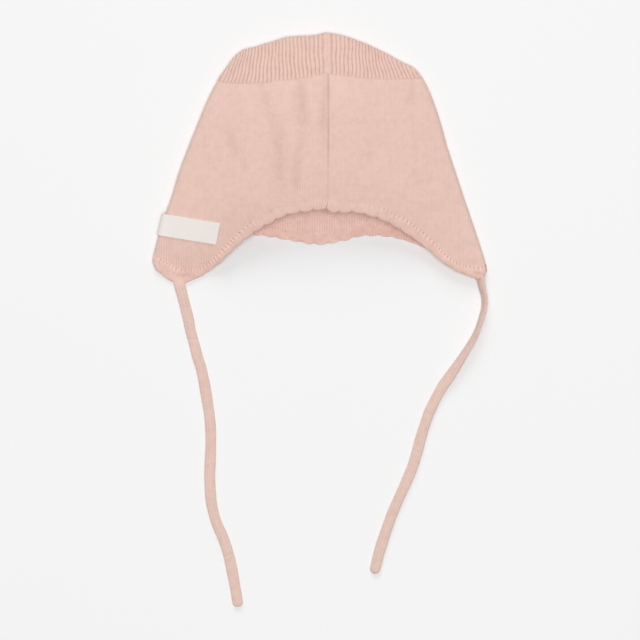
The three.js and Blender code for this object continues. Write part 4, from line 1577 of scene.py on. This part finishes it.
@dataclass(frozen=True)
class KnitFinish:
    """Fine combed cotton jersey, machine knitted and washed: dull, with a faint bloom of fibre."""

    name: str
    yarn: str  # the yarn where light reaches it
    gap: str  # painted shade: the yarn between stitches, where light doesn't reach
    wale_mm: float  # width of a column of stitches
    course_mm: float  # height of a row of stitches
    relief_mm: float
    wales_are_counted: bool = False  # the cloth's U then counts ribs and isn't in mm
    shade_share: float = 0.6  # how far the stored painted shade darkens the yarn
    contrast: float = 0.18  # how much painted shade darkens the yarn between wales
    opened: float = 2.2  # how much more that is where the wales lie apart
    leg_slant: float = -1.1
    leg_relief: float = 0.16
    heather_per_m: float = 240.0  # paler and darker patches of yarn are about 4 mm across
    fibre_per_m: float = 2600.0  # 0.4 mm: real fluff is finer, and is drawn this coarse to show
    fibre_relief: float = 0.25
    roughness: float = 0.9
    sheen: float = 0.08
    painted_light_yarn: str = "#FCD5C8"  # painted light: the paler yarn on the cloth's inside and on link loops that stand out

    def material(self) -> bpy.types.Material:
        """Builds the material.

        Returns:
            The material, to be put on one piece or several.
        """
        made, tree = blank_material(self.name)
        across = 1.0 if self.wales_are_counted else 1 / self.wale_mm
        split = on_cloth(tree, across, 1 / self.course_mm)
        place = add_node(tree, "TexCoord").outputs["Object"]
        known = {"x": split.outputs["X"], "y": split.outputs["Y"]}
        for mark in MARKS:
            known[mark] = add_node(tree, "Attribute", {"attribute_name": mark}).outputs["Fac"]
        grain = {"Scale": self.heather_per_m, "Detail": 3.0, "Roughness": 0.7}
        heather = add_node(tree, "TexNoise", grain, {"Vector": place})
        grain = {"Scale": self.fibre_per_m, "Detail": 2.0}
        known["fibre"] = add_node(tree, "TexNoise", grain, {"Vector": place}).outputs[0]
        bounds = {"From Min": 0.3, "From Max": 0.7, "To Min": 0.78, "To Max": 1.18}
        known["mottled"] = add_node(tree, "MapRange", bounds, {"Value": heather}).outputs[0]

        # Each row is a step of arithmetic: its name, its operation and what goes into it. A wale is
        # an arch of yarn, cut into stitches whose legs slant up to its middle.
        for name, operation, *terms in (
            ("wale", "PINGPONG", "x", 0.5),
            ("turn", "MULTIPLY", "wale", math.pi),
            ("arch", "SINE", "turn"),
            ("slope", "MULTIPLY_ADD", "wale", self.leg_slant, "y"),
            ("course", "MULTIPLY", "slope", 2 * math.pi),
            ("wave", "COSINE", "course"),
            ("loop", "MULTIPLY_ADD", "wave", self.leg_relief, 1 - self.leg_relief),
            ("stitch", "MULTIPLY", "arch", "loop"),
            # Painted shade: yarn sunk between stitches is darkened, more where the wales lie apart.
            ("sunk", "SUBTRACT", 1.0, "stitch"),
            ("open", "MULTIPLY_ADD", "spread", self.opened * self.contrast, self.contrast),
            ("hidden", "MULTIPLY", "sunk", "open"),
            ("tone", "SUBTRACT", "mottled", "hidden"),
            ("darker", "MULTIPLY_ADD", "shade", -self.shade_share, "tone"),
            ("fuzz", "MULTIPLY_ADD", "fibre", self.fibre_relief, "stitch"),
        ):
            numbers = {i: term for i, term in enumerate(terms) if not isinstance(term, str)}
            sources = {i: known[term] for i, term in enumerate(terms) if isinstance(term, str)}
            settings = {"operation": operation, "use_clamp": name == "darker", **numbers}
            known[name] = add_node(tree, "Math", settings, sources).outputs[0]

        # Painted light pales the yarn, and painted shade darkens it towards the gap colour.
        colours = {"data_type": "RGBA", 6: linear(self.yarn), 7: linear(self.painted_light_yarn)}
        lit = add_node(tree, "Mix", colours, {0: known["painted_light"]}).outputs[2]
        colours = {"data_type": "RGBA", 6: linear(self.gap)}
        colour = add_node(tree, "Mix", colours, {0: known["darker"], 7: lit}).outputs[2]
        bounds = {"To Min": self.roughness + 0.06, "To Max": self.roughness - 0.04}
        rough = add_node(tree, "MapRange", bounds, {"Value": known["stitch"]})
        relief = {"Strength": 1.0, "Distance": self.relief_mm * MM}
        bump = add_node(tree, "Bump", relief, {"Height": known["fuzz"]})
        shader = add_node(
            tree,
            "BsdfPrincipled",
            {"Sheen Weight": self.sheen, "Sheen Roughness": 0.6, "Specular IOR Level": 0.25},
            {"Base Color": colour, "Roughness": rough, "Normal": bump},
        )
        add_node(tree, "OutputMaterial", links={"Surface": shader})
        return made


@dataclass(frozen=True)
class TapeFinish:
    """Plain-woven polyester satin tape, heat cut and folded: off-white, smoother than knit."""

    name: str = "woven_polyester_tape"
    thread: str = "#F1EBE6"
    shadow: str = "#D9CFC8"
    warp_mm: float = 0.42  # several real threads, drawn as one so that the weave shows
    weft_mm: float = 0.5
    relief_mm: float = 0.05

    def material(self) -> bpy.types.Material:
        """Builds the material.

        Returns:
            The material, to be put on one piece or several.
        """
        made, tree = blank_material(self.name)
        split = on_cloth(tree, 2 * math.pi / self.warp_mm, 2 * math.pi / self.weft_mm)
        warp = add_node(tree, "Math", {"operation": "SINE"}, {0: split.outputs["X"]})
        weft = add_node(tree, "Math", {"operation": "SINE"}, {0: split.outputs["Y"]})
        cross = add_node(tree, "Math", {"operation": "MULTIPLY"}, {0: warp, 1: weft})
        halved = {"operation": "MULTIPLY_ADD", 1: 0.5, 2: 0.5}
        height = add_node(tree, "Math", halved, {0: cross})
        lit = add_node(tree, "MapRange", {"To Min": 0.7, "To Max": 1.0}, {"Value": height})
        colours = {"data_type": "RGBA", 6: linear(self.shadow), 7: linear(self.thread)}
        colour = add_node(tree, "Mix", colours, {0: lit}).outputs[2]
        rough = add_node(tree, "MapRange", {"To Min": 0.8, "To Max": 0.62}, {"Value": height})
        bump = add_node(tree, "Bump", {"Distance": self.relief_mm * MM}, {"Height": height})
        shader = add_node(
            tree,
            "BsdfPrincipled",
            {"Sheen Weight": 0.05, "Specular IOR Level": 0.35},
            {"Base Color": colour, "Roughness": rough, "Normal": bump},
        )
        add_node(tree, "OutputMaterial", links={"Surface": shader})
        return made


# Plain stockinette: even columns of small stitches, soft and dull.
BODY_FINISH = KnitFinish("cotton_stockinette", "#E7C6B9", "#CFAA9E", 1.58, 1.2, 0.1)
# The same yarn in 1x1 rib: one column of stitches to a rib, deeper pink where little light gets in.
RIB_FINISH = KnitFinish(
    "cotton_rib",
    "#E4C4B7",
    "#C99D8F",
    1.0,
    1.2,
    0.06,
    wales_are_counted=True,
    shade_share=0.48,
    contrast=0.1,
)
# Folded double: a little paler and smoother, with deeper painted shade in its gaps.
EDGE_FINISH = KnitFinish("cotton_folded_edge", "#E9C8BC", "#CA9F91", 1.66, 1.2, 0.1, contrast=0.12)
# Knitted as a narrow tube: tighter columns, a little greyer.
TIE_FINISH = KnitFinish("cotton_tube_knit", "#E3C5B9", "#CAA294", 1.32, 1.2, 0.1)
# Spun sewing thread: small turns that stand higher than the knit's stitches.
SEAM_FINISH = KnitFinish("overlock_thread", "#E8C4B6", "#C99F91", 0.8, 1.3, 0.15)


# ---- Studio ----------------------------------------------


@dataclass
class Studio:
    """A pale floor, a soft light overhead, one low at the top and a camera straight above."""

    view_mm: float = 409.6  # side of the square that the camera takes in
    centre_x: float = 0.1
    centre_y: float = -103.7
    distance_mm: float = 6000.0
    sensor_mm: float = 36.0
    clip_end: float = 100.0  # metres
    floor_size: float = 14.0  # metres
    floor_gap_mm: float = 0.3  # the floor lies this far below the bonnet
    floor_colour: str = "#F3F3F3"
    sky_strength: float = 0.28

    def add_camera(self) -> None:
        """Adds the camera, looking down with +Y at the top."""
        data = bpy.data.cameras.new("camera")
        data.sensor_width = self.sensor_mm
        data.lens = self.sensor_mm * self.distance_mm / self.view_mm
        data.clip_end = self.clip_end
        camera = bpy.data.objects.new("camera", data)
        bpy.context.collection.objects.link(camera)
        camera.location = (self.centre_x * MM, self.centre_y * MM, self.distance_mm * MM)
        bpy.context.scene.camera = camera

    def add_floor(self) -> None:
        """Adds the floor, just under the bonnet."""
        deselect_all()
        place = (0, 0, -self.floor_gap_mm * MM)
        bpy.ops.mesh.primitive_plane_add(size=self.floor_size, location=place)
        floor = bpy.context.object
        floor.name = "floor"
        made, tree = blank_material("matt_paper")  # it throws light back evenly, with no shine
        shader = add_node(tree, "BsdfDiffuse", {"Color": linear(self.floor_colour)})
        add_node(tree, "OutputMaterial", links={"Surface": shader})
        floor.data.materials.append(made)

    def add_sky(self) -> None:
        """Adds an even white sky."""
        world = bpy.data.worlds.new("studio")
        world.use_nodes = True
        sky = world.node_tree.nodes["Background"]
        sky.inputs["Color"].default_value = linear("#FFFFFF")
        sky.inputs["Strength"].default_value = self.sky_strength
        bpy.context.scene.world = world
        bpy.context.scene.view_settings.view_transform = "Standard"

    def add_light(
        self, name: str, place: tuple[float, float, float], size: float, watts: float
    ) -> None:
        """Adds a round soft light that points at the bonnet.

        Args:
            name: its name.
            place: where it hangs, in metres.
            size: its diameter, in metres.
            watts: its power.
        """
        deselect_all()
        bpy.ops.object.light_add(type="AREA", location=place)
        light = bpy.context.object
        light.name = name
        light.data.shape = "DISK"
        light.data.size = size
        light.data.energy = watts
        light.visible_camera = False
        light.rotation_euler = (-light.location).to_track_quat("-Z", "Y").to_euler()

    def build(self) -> None:
        """Sets up camera, floor and light."""
        self.add_camera()
        self.add_floor()
        self.add_sky()
        self.add_light("overhead_softbox", (0.15, -0.25, 3.1), 2.0, 62.0)
        self.add_light("key_softbox", (-0.5, 2.95, 1.75), 2.0, 42.0)


# ---- Assembly --------------------------------------------


def dress(piece: Piece, material: bpy.types.Material, node: str) -> None:
    """Gives a piece its finish and says which CAD node it stands for.

    Args:
        piece: the piece.
        material: its material.
        node: the CAD node that it replaces.
    """
    piece.data.materials.clear()
    piece.data.materials.append(material)
    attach(piece, ROOT)
    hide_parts(node)
    log.info("%s: %d faces, stands for %s", piece.name, len(piece.data.polygons), node)


def main() -> None:
    """Builds the studio, the ties, and then the rest of the bonnet."""
    logging.basicConfig(level=logging.INFO, format="%(name)s: %(message)s", force=True)
    Studio().build()

    tie_knit = TIE_FINISH.material()
    left_wrinkles = (Wrinkle(38.5, 0.4, 0.9), Wrinkle(180.0, 0.45, -0.7))
    right_wrinkles = (Wrinkle(47.0, 0.4, 0.9), Wrinkle(123.0, 0.45, 0.7))
    left_tie = Tie("left_tie_tube", LEFT_TIE, 2.6, 1.15, 0.0, left_wrinkles)
    right_tie = Tie("right_tie_tube", RIGHT_TIE, 2.2, 2.2, 20.0, right_wrinkles)
    for tie, node in ((left_tie, "left_tie"), (right_tie, "right_tie")):
        piece = tie.build()
        dress(piece, tie_knit, node)
        tie.declare(piece)

    form = Form()
    left = Rim(RIM_FRONT_LEFT, Layer.FRONT)
    right = Rim(RIM_FRONT_RIGHT, Layer.FRONT)
    rear = Rim(RIM_REAR, Layer.REAR)

    body_knit, crown_rib = BodyKnit(), CrownRib()
    body = body_knit.build(form, [left, right], rear)
    dress(body, BODY_FINISH.material(), "body_knit")
    crown = crown_rib.build(form)
    dress(crown, RIB_FINISH.material(), "crown_rib")
    edging = Edging().build(form, right, rear, left)
    dress(edging, EDGE_FINISH.material(), "scalloped_trim")
    seam = FrontSeam().build(form)
    dress(seam, SEAM_FINISH.material(), "front_seam")
    label = SideLabel().build(form)
    dress(label, TapeFinish().material(), "side_label")


if __name__ == "__main__":
    main()
